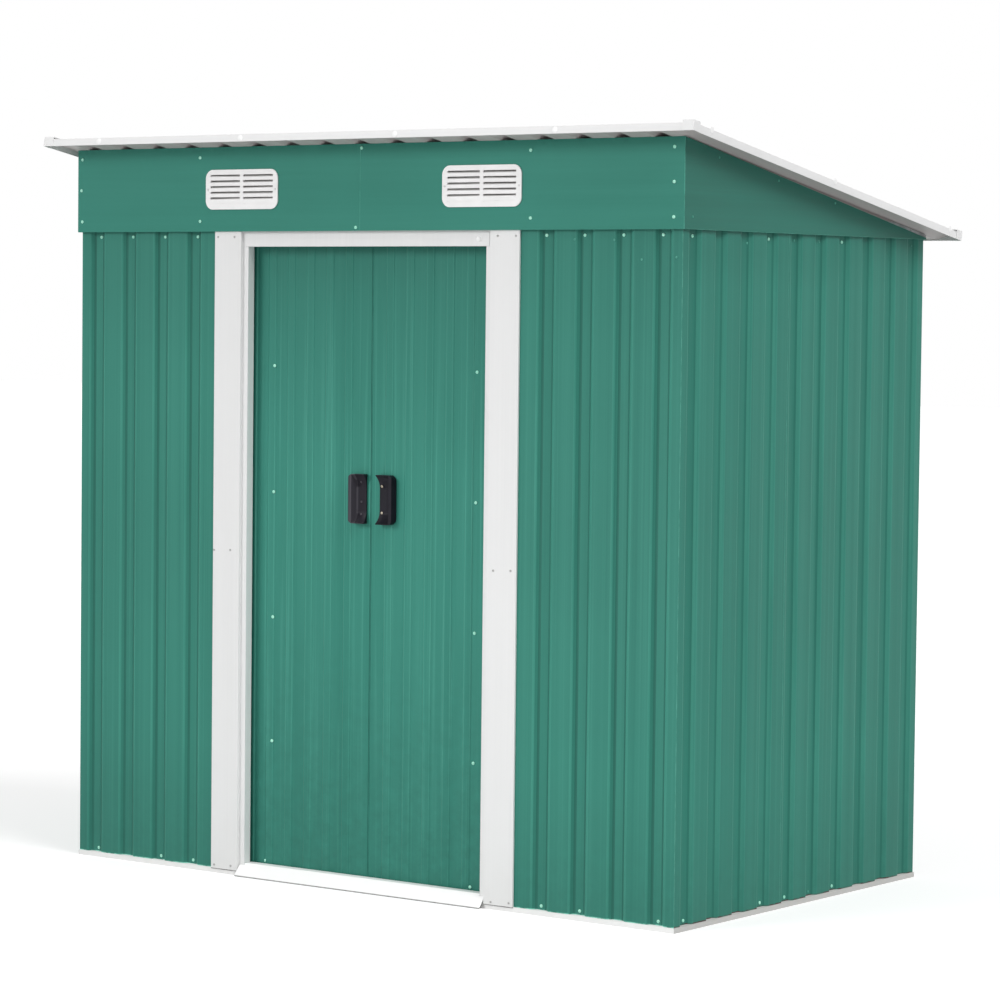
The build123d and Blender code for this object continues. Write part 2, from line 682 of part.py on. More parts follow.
def handle(pad_out):
    """Right-hand pull. A pad as deep as a door rib stands under it out to pad_out, if that isn't 0."""
    body = pull_block([(handle_inner, 0), (handle_inner - handle_tip_lean, handle_crest_t),
                       (ridge_out, handle_crest_t), (pull_end, 0)], half_pull)
    plate_w = 2 * handle_w + 2 * handle_tip_lean
    outline = RectangleRounded(plate_w, handle_h, handle_corner_r)
    corners = Pos(pull_end - plate_w / 2, door_rib_y, handle_z) * Rot(X=90) * extrude(outline, above_pull)
    top = handle_crest_t - handle_shell_t
    hollow = pull_block([(floor_out + handle_shell_t, 0), (ridge_in + handle_shell_t / 2, top),
                         (ridge_out - handle_shell_t / 2, top), (pull_end - handle_shell_t, 0)],
                        half_pull - handle_corner_r)
    pull = (body & corners) - scoop() - hollow
    if pad_out:
        pad = [(handle_inner + handle_pad_in, 0), (pad_out, 0), (pad_out, -door_rib_h)]
        pull += pull_block(pad + [(handle_inner + handle_pad_in, -door_rib_h)], half_pull - handle_corner_r)
    return pull


save(Pos(handle_shift, 0, 0) * handle(0), "door_handle_right")
save(Pos(handle_shift, 0, 0) * mirror_x(handle(floor_out)), "door_handle_left")

# Runners: hooks over the top track's lip with a foot on the leaf, and forks astride the
# bottom track
hook_low = top_track_z + runner_gap
hook_top = top_track_z + top_track_lip_h + runner_gap
hook_front = lip_y - track_t - runner_gap - runner_wall
hook_leg_y = door_rib_y - runner_wall
hook_section = [(hook_front, hook_low), (hook_front, hook_top + runner_wall)]
hook_section += [(door_rib_y, hook_top + runner_wall), (door_rib_y, door_top_z + runner_foot_t)]
hook_section += [(door_back_y, door_top_z + runner_foot_t), (door_back_y, door_top_z)]
hook_section += [(hook_leg_y, door_top_z), (hook_leg_y, hook_top)]
hook_section += [(hook_front + runner_wall, hook_top), (hook_front + runner_wall, hook_low)]

fork_low = rail_t + runner_floor_gap
fork_z = door_bottom_z
side_gap = runner_gap + track_t / 2
fork_out = side_gap + runner_wall
fork_section = [(-fork_out, fork_low), (-fork_out, fork_z), (fork_out, fork_z), (fork_out, fork_low)]
fork_section += [(side_gap, fork_low), (side_gap, bottom_track_h + runner_gap)]
fork_section += [(-side_gap, bottom_track_h + runner_gap), (-side_gap, fork_low)]
runner_x = (leaf_edge + runner_inset, leaf_outer - runner_inset - runner_w)
runners = []
for x in runner_x:
    runners.append(along_x(hook_section, (x, x + runner_w)))
    runners.append(along_x([(guide_y + v, z) for v, z in fork_section], (x, x + runner_w)))
save(Compound(children=runners), "door_runners_right")
save(Compound(children=[mirror_x(r) for r in runners]), "door_runners_left")
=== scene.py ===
import json
import math
import bmesh
import bpy
from mathutils import Matrix, Vector
from mathutils.bvhtree import BVHTree


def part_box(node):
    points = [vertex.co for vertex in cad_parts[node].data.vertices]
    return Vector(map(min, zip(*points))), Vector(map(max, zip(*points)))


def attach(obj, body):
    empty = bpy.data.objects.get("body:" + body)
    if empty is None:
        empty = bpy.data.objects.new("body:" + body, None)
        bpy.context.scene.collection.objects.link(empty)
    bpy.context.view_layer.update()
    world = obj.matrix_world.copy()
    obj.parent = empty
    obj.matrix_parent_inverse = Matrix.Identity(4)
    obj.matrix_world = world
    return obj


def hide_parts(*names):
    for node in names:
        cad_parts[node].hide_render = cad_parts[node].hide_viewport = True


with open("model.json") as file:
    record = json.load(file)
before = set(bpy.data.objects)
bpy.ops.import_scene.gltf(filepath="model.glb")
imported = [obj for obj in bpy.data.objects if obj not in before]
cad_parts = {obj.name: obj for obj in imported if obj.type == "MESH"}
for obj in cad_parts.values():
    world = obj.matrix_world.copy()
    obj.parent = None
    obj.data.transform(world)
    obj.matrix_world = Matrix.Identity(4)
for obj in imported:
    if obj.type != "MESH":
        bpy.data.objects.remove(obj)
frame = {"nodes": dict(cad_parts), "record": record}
nodes = frame["nodes"]
scene = bpy.context.scene
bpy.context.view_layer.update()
bodyOf = {name: body for body, names in frame["record"]["behaviour"]["bodies"].items() for name in names}


def toLinear(rgb):
    # sRGB, as a colour picker shows it, to the linear colour that a shader takes
    values = [c / 255 for c in rgb]
    linear = [v / 12.92 if v <= 0.04045 else ((v + 0.055) / 1.055) ** 2.4 for v in values]
    return (linear[0], linear[1], linear[2], 1.0)


# Camera: stands off the right front corner, a little above the middle, with a long lens
cameraLook = {
    "place": (5.3451, -7.1916, 1.3905),
    "turn": 36.54,      # degrees round to the right
    "tip": 3.03,        # degrees down
    "roll": 0.62,
    "lens": 129.695,
    "sensor": 36,       # mm, as the lens
    "seesTo": 200,      # metres
}


def addCamera(look):
    turn, tip, roll = (math.radians(look[key]) for key in ("turn", "tip", "roll"))
    ahead = Vector((-math.sin(turn) * math.cos(tip), math.cos(turn) * math.cos(tip), -math.sin(tip)))
    right = ahead.cross(Vector((0, 0, 1))).normalized()
    up = right.cross(ahead)
    rolledRight = right * math.cos(roll) + up * math.sin(roll)
    rolledUp = up * math.cos(roll) - right * math.sin(roll)
    camera = bpy.data.objects.new("camera", bpy.data.cameras.new("camera"))
    scene.collection.objects.link(camera)
    turned = Matrix((rolledRight, rolledUp, -ahead)).transposed().to_4x4()
    camera.matrix_world = Matrix.Translation(look["place"]) @ turned
    camera.data.lens = look["lens"]
    camera.data.sensor_width = look["sensor"]
    camera.data.clip_end = look["seesTo"]
    scene.camera = camera
    return camera


addCamera(cameraLook)
print("camera placed")

# Studio: a plain white room lit by two broad soft suns, and a soft box before the doors. Around is
# degrees to the right of the front, up is degrees above the floor, soft is how wide the light is
studio = {
    "room": 0.42,
    "suns": {
        "frontSun": {"around": -28, "up": 25, "power": 1.27, "soft": 25},
        "sideSun": {"around": 84, "up": 42, "power": 1.84, "soft": 35},
    },
    "sunAway": 8.0,         # only where the lamp's mark stands, since a sun lights from anywhere
    "softBox": {"place": (0.35, -1.85, 0.75), "size": 0.8, "power": 2.9},
    "floorSize": 80.0,
    "floorGrey": 0.60,
    "floorRough": 0.9,
    "floorShine": 0.1,
    "floorLift": 0.54,      # glow that the eye sees on the floor, which lights nothing
}


def addSun(name, look, away):
    around, up = math.radians(look["around"]), math.radians(look["up"])
    toward = Vector((math.sin(around) * math.cos(up), -math.cos(around) * math.cos(up), math.sin(up)))
    lamp = bpy.data.objects.new(name, bpy.data.lights.new(name, "SUN"))
    scene.collection.objects.link(lamp)
    lamp.data.energy = look["power"]
    lamp.data.angle = math.radians(look["soft"])
    lamp.location = toward * away
    lamp.rotation_euler = toward.to_track_quat("Z", "Y").to_euler()
    return lamp


def addSoftBox(name, look):
    # faces the shed squarely
    lamp = bpy.data.objects.new(name, bpy.data.lights.new(name, "AREA"))
    scene.collection.objects.link(lamp)
    lamp.data.shape = "SQUARE"
    lamp.data.size = look["size"]
    lamp.data.energy = look["power"]
    lamp.location = look["place"]
    lamp.rotation_euler = (math.radians(90), 0, 0)
    return lamp


def whiteRays(tree):
    # 1 for the rays that show the plain white background, 0 for those that only light things
    rays = tree.nodes.new("ShaderNodeLightPath")
    first = tree.nodes.new("ShaderNodeMath")
    first.operation = "MAXIMUM"
    second = tree.nodes.new("ShaderNodeMath")
    second.operation = "MAXIMUM"
    tree.links.new(rays.outputs["Is Camera Ray"], first.inputs[0])
    tree.links.new(rays.outputs["Is Glossy Ray"], first.inputs[1])
    tree.links.new(first.outputs[0], second.inputs[0])
    tree.links.new(rays.outputs["Is Transmission Ray"], second.inputs[1])
    return second.outputs[0]


def makeRoom(look):
    world = bpy.data.worlds.new("studio")
    scene.world = world
    world.use_nodes = True
    tree = world.node_tree
    tree.nodes.clear()
    room = tree.nodes.new("ShaderNodeBackground")
    room.inputs["Strength"].default_value = look["room"]
    white = tree.nodes.new("ShaderNodeBackground")
    white.inputs["Strength"].default_value = 1.0
    for shader in (room, white):
        shader.inputs["Color"].default_value = (1, 1, 1, 1)
    mix = tree.nodes.new("ShaderNodeMixShader")
    out = tree.nodes.new("ShaderNodeOutputWorld")
    tree.links.new(whiteRays(tree), mix.inputs[0])
    tree.links.new(room.outputs[0], mix.inputs[1])
    tree.links.new(white.outputs[0], mix.inputs[2])
    tree.links.new(mix.outputs[0], out.inputs["Surface"])


def makeFloor(look):
    bpy.ops.object.select_all(action="DESELECT")
    bpy.ops.mesh.primitive_plane_add(size=look["floorSize"], location=(0, 0, 0))
    floor = bpy.context.object
    floor.name = "studioFloor"
    paper = bpy.data.materials.new("studioPaper")
    paper.use_nodes = True
    tree = paper.node_tree
    shader = tree.nodes["Principled BSDF"]
    grey = look["floorGrey"]
    shader.inputs["Base Color"].default_value = (grey, grey, grey, 1)
    shader.inputs["Roughness"].default_value = look["floorRough"]
    shader.inputs["Specular IOR Level"].default_value = look["floorShine"]
    lift = tree.nodes.new("ShaderNodeMath")
    lift.operation = "MULTIPLY"
    lift.inputs[1].default_value = look["floorLift"]
    tree.links.new(whiteRays(tree), lift.inputs[0])
    glow = tree.nodes.new("ShaderNodeEmission")
    tree.links.new(lift.outputs[0], glow.inputs["Strength"])
    both = tree.nodes.new("ShaderNodeAddShader")
    tree.links.new(shader.outputs[0], both.inputs[0])
    tree.links.new(glow.outputs[0], both.inputs[1])
    tree.links.new(both.outputs[0], tree.nodes["Material Output"].inputs["Surface"])
    floor.data.materials.append(paper)


for sunName, sunLook in studio["suns"].items():
    addSun(sunName, sunLook, studio["sunAway"])
addSoftBox("doorSoftBox", studio["softBox"])
makeRoom(studio)
makeFloor(studio)
scene.view_settings.view_transform = "Standard"
print("studio lit")


# Effects that several finishes use, each a shader group with named sockets
def newGroup(name, inputs, outputs):
    group = bpy.data.node_groups.new(name, "ShaderNodeTree")
    for label, kind, start in inputs:
        socket = group.interface.new_socket(name=label, in_out="INPUT", socket_type="NodeSocket" + kind)
        if start is not None:
            socket.default_value = start
    for label, kind in outputs:
        group.interface.new_socket(name=label, in_out="OUTPUT", socket_type="NodeSocket" + kind)
    return group, group.nodes.new("NodeGroupInput"), group.nodes.new("NodeGroupOutput")


def addNoise(tree, vector, scale, detail=3.0, roughness=0.5):
    noise = tree.nodes.new("ShaderNodeTexNoise")
    noise.inputs["Detail"].default_value = detail
    noise.inputs["Roughness"].default_value = roughness
    tree.links.new(vector, noise.inputs["Vector"])
    if isinstance(scale, (int, float)):
        noise.inputs["Scale"].default_value = scale
    else:
        tree.links.new(scale, noise.inputs["Scale"])
    return noise.outputs["Fac"]


def addRange(tree, value, low, high, toLow=0.0, toHigh=1.0):
    ranged = tree.nodes.new("ShaderNodeMapRange")
    tree.links.new(value, ranged.inputs["Value"])
    for label, amount in (("From Min", low), ("From Max", high), ("To Min", toLow), ("To Max", toHigh)):
        if isinstance(amount, (int, float)):
            ranged.inputs[label].default_value = amount
        else:
            tree.links.new(amount, ranged.inputs[label])
    return ranged.outputs["Result"]


def addMath(tree, operation, first, second):
    node = tree.nodes.new("ShaderNodeMath")
    node.operation = operation
    for index, value in enumerate((first, second)):
        if isinstance(value, (int, float)):
            node.inputs[index].default_value = value
        else:
            tree.links.new(value, node.inputs[index])
    return node.outputs[0]


def addDot(tree, vector, direction):
    node = tree.nodes.new("ShaderNodeVectorMath")
    node.operation = "DOT_PRODUCT"
    tree.links.new(vector, node.inputs[0])
    tree.links.new(direction, node.inputs[1])
    return node.outputs["Value"]


def makeRollMarksAndSheen():
    # what the forming rolls leave along a sheet: fine lines and broad bands; and a few long soft lighter
    # streaks, partly roll marks and partly painted sheen
    group, given, result = newGroup(
        "rollMarksAndSheen",
        [("Vector", "Vector", None), ("Across", "Vector", (260, 260, 0)), ("Along", "Vector", (0, 0, 1.1))],
        [("Fine", "Float"), ("Broad", "Float"), ("Streaks", "Float")])
    across = addDot(group, given.outputs["Vector"], given.outputs["Across"])
    along = addDot(group, given.outputs["Vector"], given.outputs["Along"])
    joined = group.nodes.new("ShaderNodeCombineXYZ")
    group.links.new(across, joined.inputs["X"])
    group.links.new(along, joined.inputs["Y"])
    fineScale, broadScale, streakScale = 1.0, 0.12, 0.62
    fine = addNoise(group, joined.outputs[0], fineScale, 3.0, 0.6)
    broad = addNoise(group, joined.outputs[0], broadScale, 2.0, 0.5)
    streaks = addNoise(group, joined.outputs[0], streakScale, 1.0, 0.4)
    group.links.new(addRange(group, fine, 0.35, 0.65), result.inputs["Fine"])
    group.links.new(addRange(group, broad, 0.35, 0.65), result.inputs["Broad"])
    group.links.new(addRange(group, streaks, 0.57, 0.72), result.inputs["Streaks"])
    return group


def makePatches():
    # slow cloudy changes of shade
    group, given, result = newGroup(
        "patches", [("Vector", "Vector", None), ("Scale", "Float", 1.5)], [("Mask", "Float")])
    noise = addNoise(group, given.outputs["Vector"], given.outputs["Scale"], 3.0, 0.5)
    group.links.new(addRange(group, noise, 0.33, 0.67), result.inputs["Mask"])
    return group


def makeOrangePeel():
    # the small waviness of sprayed paint and moulded plastic, with the sheet's own slow waves
    group, given, result = newGroup(
        "orangePeel",
        [("Vector", "Vector", None), ("Scale", "Float", 500.0), ("Height", "Float", 0.0001),
         ("Marks", "Float", 0.0), ("Mark Height", "Float", 0.0001), ("Wave Height", "Float", 0.0)],
        [("Normal", "Vector")])
    noise = addNoise(group, given.outputs["Vector"], given.outputs["Scale"], 2.0, 0.5)
    waveScale = 5.0
    waves = addNoise(group, given.outputs["Vector"], waveScale, 1.0, 0.4)
    peel = addMath(group, "MULTIPLY", noise, given.outputs["Height"])
    marks = addMath(group, "MULTIPLY", given.outputs["Marks"], given.outputs["Mark Height"])
    swell = addMath(group, "MULTIPLY", waves, given.outputs["Wave Height"])
    bump = group.nodes.new("ShaderNodeBump")
    bump.inputs["Distance"].default_value = 1.0
    total = addMath(group, "ADD", addMath(group, "ADD", peel, marks), swell)
    group.links.new(total, bump.inputs["Height"])
    group.links.new(bump.outputs["Normal"], result.inputs["Normal"])
    return group


def makeFoldPaintedLightAndWear():
    # follows a fold's mark and lets it come and go slowly: painted shade in inner bends, painted highlight on
    # outer bends and ribs' sides, wear and painted highlight on cut edges. Keep is how much always stays
    group, given, result = newGroup(
        "foldPaintedLightAndWear",
        [("Vector", "Vector", None), ("Mark", "Float", 0.0), ("Scale", "Float", 3.0),
         ("Keep", "Float", 0.5), ("Amount", "Float", 0.5)],
        [("Mask", "Float")])
    noise = addNoise(group, given.outputs["Vector"], given.outputs["Scale"], 2.0, 0.5)
    kept = addRange(group, noise, 0.35, 0.65, given.outputs["Keep"], 1.0)
    wearAndPaintedLight = addMath(group, "MULTIPLY", kept, given.outputs["Mark"])
    group.links.new(addMath(group, "MULTIPLY", wearAndPaintedLight, given.outputs["Amount"]), result.inputs["Mask"])
    return group


def makeHeightTones():
    # a speckled darker tone towards the ground, strongest at the foot; a strip along a foot, chipped paint on
    # some pieces and painted shadow under an edge on others; and painted shade under the eaves. Whole is how
    # much of the strip is unbroken
    group, given, result = newGroup(
        "heightTones",
        [("Vector", "Vector", None), ("Reach", "Float", 0.18), ("Amount", "Float", 0.25),
         ("Foot", "Float", 0.0), ("Strip", "Float", 0.002), ("Whole", "Float", 0.0),
         ("Eaves Low", "Float", 1.3), ("Eaves High", "Float", 1.55)],
        [("Mask", "Float"), ("Foot Strip", "Float"), ("Eaves Shade", "Float")])
    parts = group.nodes.new("ShaderNodeSeparateXYZ")
    group.links.new(given.outputs["Vector"], parts.inputs[0])
    height = addMath(group, "DIVIDE", parts.outputs["Z"], given.outputs["Reach"])
    low = addRange(group, height, 0.0, 1.0, 1.0, 0.0)
    speckScale, stripBreakScale = 35.0, 60.0
    noise = addNoise(group, given.outputs["Vector"], speckScale, 5.0, 0.65)
    speckle = addRange(group, noise, 0.30, 0.70, 0.45, 1.0)
    lowTone = addMath(group, "MULTIPLY", low, speckle)
    group.links.new(addMath(group, "MULTIPLY", lowTone, given.outputs["Amount"]), result.inputs["Mask"])
    above = addMath(group, "SUBTRACT", parts.outputs["Z"], given.outputs["Foot"])
    strip = addRange(group, addMath(group, "DIVIDE", above, given.outputs["Strip"]), 0.8, 1.2, 1.0, 0.0)
    stripBreaks = addRange(group, addNoise(group, given.outputs["Vector"], stripBreakScale, 2.0, 0.5), 0.40, 0.55)
    kept = addMath(group, "MAXIMUM", stripBreaks, given.outputs["Whole"])
    group.links.new(addMath(group, "MULTIPLY", strip, kept), result.inputs["Foot Strip"])
    under = addRange(group, parts.outputs["Z"], given.outputs["Eaves Low"], given.outputs["Eaves High"])
    group.links.new(under, result.inputs["Eaves Shade"])
    return group


def makeSpangle():
    # the frosty crystals of zinc coating
    group, given, result = newGroup(
        "spangle",
        [("Vector", "Vector", None), ("Scale", "Float", 90.0)],
        [("Mask", "Float"), ("Fine", "Float")])
    cells = group.nodes.new("ShaderNodeTexVoronoi")
    group.links.new(given.outputs["Vector"], cells.inputs["Vector"])
    group.links.new(given.outputs["Scale"], cells.inputs["Scale"])
    parts = group.nodes.new("ShaderNodeSeparateColor")
    group.links.new(cells.outputs["Color"], parts.inputs[0])
    group.links.new(parts.outputs[0], result.inputs["Mask"])
    grainScale = 700.0
    group.links.new(addNoise(group, given.outputs["Vector"], grainScale, 2.0), result.inputs["Fine"])
    return group


effects = {
    "rollMarksAndSheen": makeRollMarksAndSheen(),
    "patches": makePatches(),
    "orangePeel": makeOrangePeel(),
    "foldPaintedLightAndWear": makeFoldPaintedLightAndWear(),
    "heightTones": makeHeightTones(),
    "spangle": makeSpangle(),
}


def addEffect(tree, name, **values):
    node = tree.nodes.new("ShaderNodeGroup")
    node.node_tree = effects[name]
    for label, value in values.items():
        socket = node.inputs[label.replace("_", " ")]
        if isinstance(value, bpy.types.NodeSocket):
            tree.links.new(value, socket)
        else:
            socket.default_value = value
    return node


def mixColor(tree, factor, first, second):
    node = tree.nodes.new("ShaderNodeMix")
    node.data_type = "RGBA"
    tree.links.new(factor, node.inputs[0])
    for index, value in ((6, first), (7, second)):
        if isinstance(value, bpy.types.NodeSocket):
            tree.links.new(value, node.inputs[index])
        else:
            node.inputs[index].default_value = value
    return node.outputs[2]


def newMaterial(name):
    material = bpy.data.materials.new(name)
    material.use_nodes = True
    tree = material.node_tree
    shader = tree.nodes["Principled BSDF"]
    place = tree.nodes.new("ShaderNodeTexCoord").outputs["Object"]
    return material, tree, shader, place


def foldMarks(tree):
    # a piece's own marks: outer bends, inner bends, cut edges, the ribs' sloped sides and undersides
    attributes = {}
    for name in ("folds", "slope", "under"):
        attributes[name] = tree.nodes.new("ShaderNodeAttribute")
        attributes[name].attribute_name = name
    parts = tree.nodes.new("ShaderNodeSeparateXYZ")
    tree.links.new(attributes["folds"].outputs["Vector"], parts.inputs[0])
    return {"outer": parts.outputs["X"], "inner": parts.outputs["Y"], "cut": parts.outputs["Z"],
            "slope": attributes["slope"].outputs["Fac"], "under": attributes["under"].outputs["Fac"]}


# Finishes. Colours are sRGB as a colour picker shows them. Light is the tone of the painted highlight on
# outer bends and of the streaks, dark that of the painted shade in inner bends and under the eaves, chip that
# of cut edges.
# Slopes are the tone and amount painted on the rib sides turned to the front right, then the amount of
# painted highlight on the others. Shelter is where the painted shade under the eaves begins and is full, and
# how much it shows
paints = {
    # front and back walls: painted shade in inner bends, on the rib sides turned to the front right and under
    # the eaves; painted highlight on outer bends and the other rib sides
    "wallPaint": {
        "tone": (48, 124, 109), "shade": (44, 117, 103), "light": (78, 158, 141), "dark": (28, 82, 71),
        "cutEdgeTone": (128, 205, 186), "rough": (0.40, 0.55), "gloss": 0.2, "across": (210, 210, 0),
        "along": (0, 0, 0.8), "fine": 0.10, "broad": 0.20, "streak": 0.14, "crest": 0.36, "crease": 0.55,
        "cut": 0.5, "peel": 0.00005, "marks": 0.00005, "waves": 0.0025, "lowDarkening": 0.45,
        "reach": 0.32, "lowTone": (40, 98, 86), "slopes": ("dark", 0.10, 0.60), "eavesShade": (1.25, 1.58, 0.16),
        "foot": {"z": 0.012, "strip": 0.002, "whole": 0.0, "tone": (128, 205, 186)}},
    # the fascia's cut edges take a paler line, a painted highlight
    "fasciaPaint": {
        "tone": (50, 128, 113), "shade": (46, 122, 107), "light": (84, 166, 149), "dark": (30, 88, 76),
        "cutEdgeTone": (96, 176, 158), "rough": (0.40, 0.52), "gloss": 0.2, "across": (0, 0, 90),
        "along": (2.0, 2.0, 0), "fine": 0.05, "broad": 0.08, "streak": 0.03, "crest": 0.4, "crease": 0.4,
        "cut": 0.8, "peel": 0.00005, "marks": 0.00002, "waves": 0.0016, "lowDarkening": 0.0},
    # doors: painted shade under the header, painted highlight on their rib bends and in the streaks
    "doorPaint": {
        "tone": (49, 129, 114), "shade": (44, 122, 107), "light": (90, 172, 155), "dark": (38, 104, 91),
        "cutEdgeTone": (100, 178, 160), "rough": (0.40, 0.52), "gloss": 0.2, "across": (180, 180, 0),
        "along": (0, 0, 2.0), "fine": 0.07, "broad": 0.16, "streak": 0.26, "crest": 0.34, "crease": 0.06,
        "cut": 0.4, "peel": 0.00005, "marks": 0.00006, "waves": 0.0025, "lowDarkening": 0.85, "reach": 0.70,
        "lowTone": (40, 105, 92), "slopes": ("dark", 0.0, 0.16), "eavesShade": (1.00, 1.52, 0.58)},
    # jambs: the dark strip at their foot is painted shadow under the jamb
    "whitePaint": {
        "tone": (229, 229, 229), "shade": (225, 225, 225), "light": (235, 235, 235), "dark": (206, 206, 205),
        "cutEdgeTone": (205, 204, 203), "rough": (0.40, 0.54), "gloss": 0.3, "across": (150, 150, 0),
        "along": (0, 0, 1.2), "fine": 0.25, "broad": 0.20, "streak": 0.2, "crest": 0.5, "crease": 0.5,
        "cut": 0.5, "peel": 0.00004, "marks": 0.00003, "waves": 0.0008, "lowDarkening": 0.10,
        "foot": {"z": 0.010, "strip": 0.0018, "whole": 0.8, "tone": (104, 102, 101)}},
    "trimPaint": {
        "tone": (233, 233, 233), "shade": (228, 228, 228), "light": (238, 238, 238), "dark": (206, 206, 205),
        "cutEdgeTone": (208, 207, 206), "rough": (0.40, 0.54), "gloss": 0.3, "across": (0, 0, 160),
        "along": (1.5, 1.5, 0), "fine": 0.2, "broad": 0.2, "streak": 0.1, "crest": 0.5, "crease": 0.5,
        "cut": 0.4, "peel": 0.00004, "marks": 0.00003, "waves": 0.0004, "lowDarkening": 0.0},
    "frontRailPaint": {
        "tone": (246, 246, 246), "shade": (241, 241, 241), "light": (248, 248, 248), "dark": (196, 196, 195),
        "cutEdgeTone": (214, 213, 212), "rough": (0.40, 0.54), "gloss": 0.3, "across": (0, 0, 160),
        "along": (1.5, 1.5, 0), "fine": 0.2, "broad": 0.2, "streak": 0.1, "crest": 0.4, "crease": 0.8,
        "cut": 0.4, "peel": 0.00004, "marks": 0.00003, "waves": 0.0004, "lowDarkening": 0.16},
    # sill: the grey strip at its foot is painted shade on the hem
    "sillPaint": {
        "tone": (249, 249, 249), "shade": (246, 246, 246), "light": (251, 251, 251), "dark": (206, 206, 205),
        "cutEdgeTone": (218, 217, 216), "rough": (0.40, 0.54), "gloss": 0.3, "across": (0, 0, 160),
        "along": (1.5, 1.5, 0), "fine": 0.2, "broad": 0.2, "streak": 0.1, "crest": 0.4, "crease": 0.8,
        "cut": 0.3, "peel": 0.00004, "marks": 0.00003, "waves": 0.0004, "lowDarkening": 0.06,
        "foot": {"z": 0.0, "strip": 0.0030, "whole": 0.9, "tone": (134, 133, 132)}},
    # the side and back base rails are the front rails' white made grey, as painted shade
    "sideRailShadedPaint": {
        "tone": (198, 197, 196), "shade": (190, 189, 188), "light": (212, 211, 210), "dark": (150, 144, 142),
        "cutEdgeTone": (172, 170, 168), "rough": (0.42, 0.56), "gloss": 0.3, "across": (0, 0, 160),
        "along": (1.5, 1.5, 0), "fine": 0.3, "broad": 0.2, "streak": 0.1, "crest": 0.4, "crease": 0.6,
        "cut": 0.5, "peel": 0.00004, "marks": 0.00003, "waves": 0.0004, "lowDarkening": 0.22},
    "roofPaint": {
        "tone": (224, 224, 224), "shade": (217, 217, 217), "light": (234, 234, 234), "dark": (188, 188, 187),
        "cutEdgeTone": (200, 199, 197), "rough": (0.40, 0.56), "gloss": 0.3, "across": (200, 0, 0),
        "along": (0, 1.0, 0), "fine": 0.2, "broad": 0.25, "streak": 0.2, "crest": 0.4, "crease": 0.5,
        "cut": 0.4, "peel": 0.00005, "marks": 0.00005, "waves": 0.0010, "lowDarkening": 0.0,
        "under": (196, 189, 188)},
    "primerPaint": {
        "tone": (152, 144, 143), "shade": (140, 132, 131), "light": (176, 170, 168), "dark": (108, 101, 100),
        "cutEdgeTone": (120, 114, 112), "rough": (0.50, 0.65), "gloss": 0.2, "across": (0, 0, 160),
        "along": (1.5, 1.5, 0), "fine": 0.2, "broad": 0.2, "streak": 0.1, "crest": 0.4, "crease": 0.5,
        "cut": 0.4, "peel": 0.00006, "marks": 0.00003, "waves": 0.0004, "lowDarkening": 0.0},
}
# the side walls are the same paint, darker all over as painted shade, with painted highlight on the slopes,
# and their foot takes a dark strip, painted shadow under the sheet's edge
paints["sideWallShadedPaint"] = dict(
    paints["wallPaint"], tone=(41, 119, 104), shade=(37, 112, 98), slopes=("light", 0.55, 0.85),
    crest=0.42, crease=0.24, eavesShade=(1.44, 1.52, 0.16),
    foot={"z": 0.012, "strip": 0.0028, "whole": 0.35, "tone": (76, 50, 50)})
# the gables are the fascia's paint, darker as painted shade under the eaves
paints["gableShadedPaint"] = dict(paints["fasciaPaint"], tone=(39, 106, 93), shade=(35, 100, 87))
# how quickly the painted shade and highlight on bends and ribs' sides, and the wear on cut edges, come and
# go, and how much of each always stays
foldPaintedLightAndWearOn = {
    "outer": {"Scale": 2.2, "Keep": 0.45},
    "inner": {"Scale": 1.7, "Keep": 0.75},
    "cut": {"Scale": 40.0, "Keep": 0.3},
    "slope": {"Scale": 1.9, "Keep": 0.6},
}
plainFoot = {"z": 0.0, "strip": 0.002, "whole": 0.0}
plainReach = 0.16
plainLowTone = (186, 182, 170)
plainEavesShade = (1.3, 1.55, 0.0)


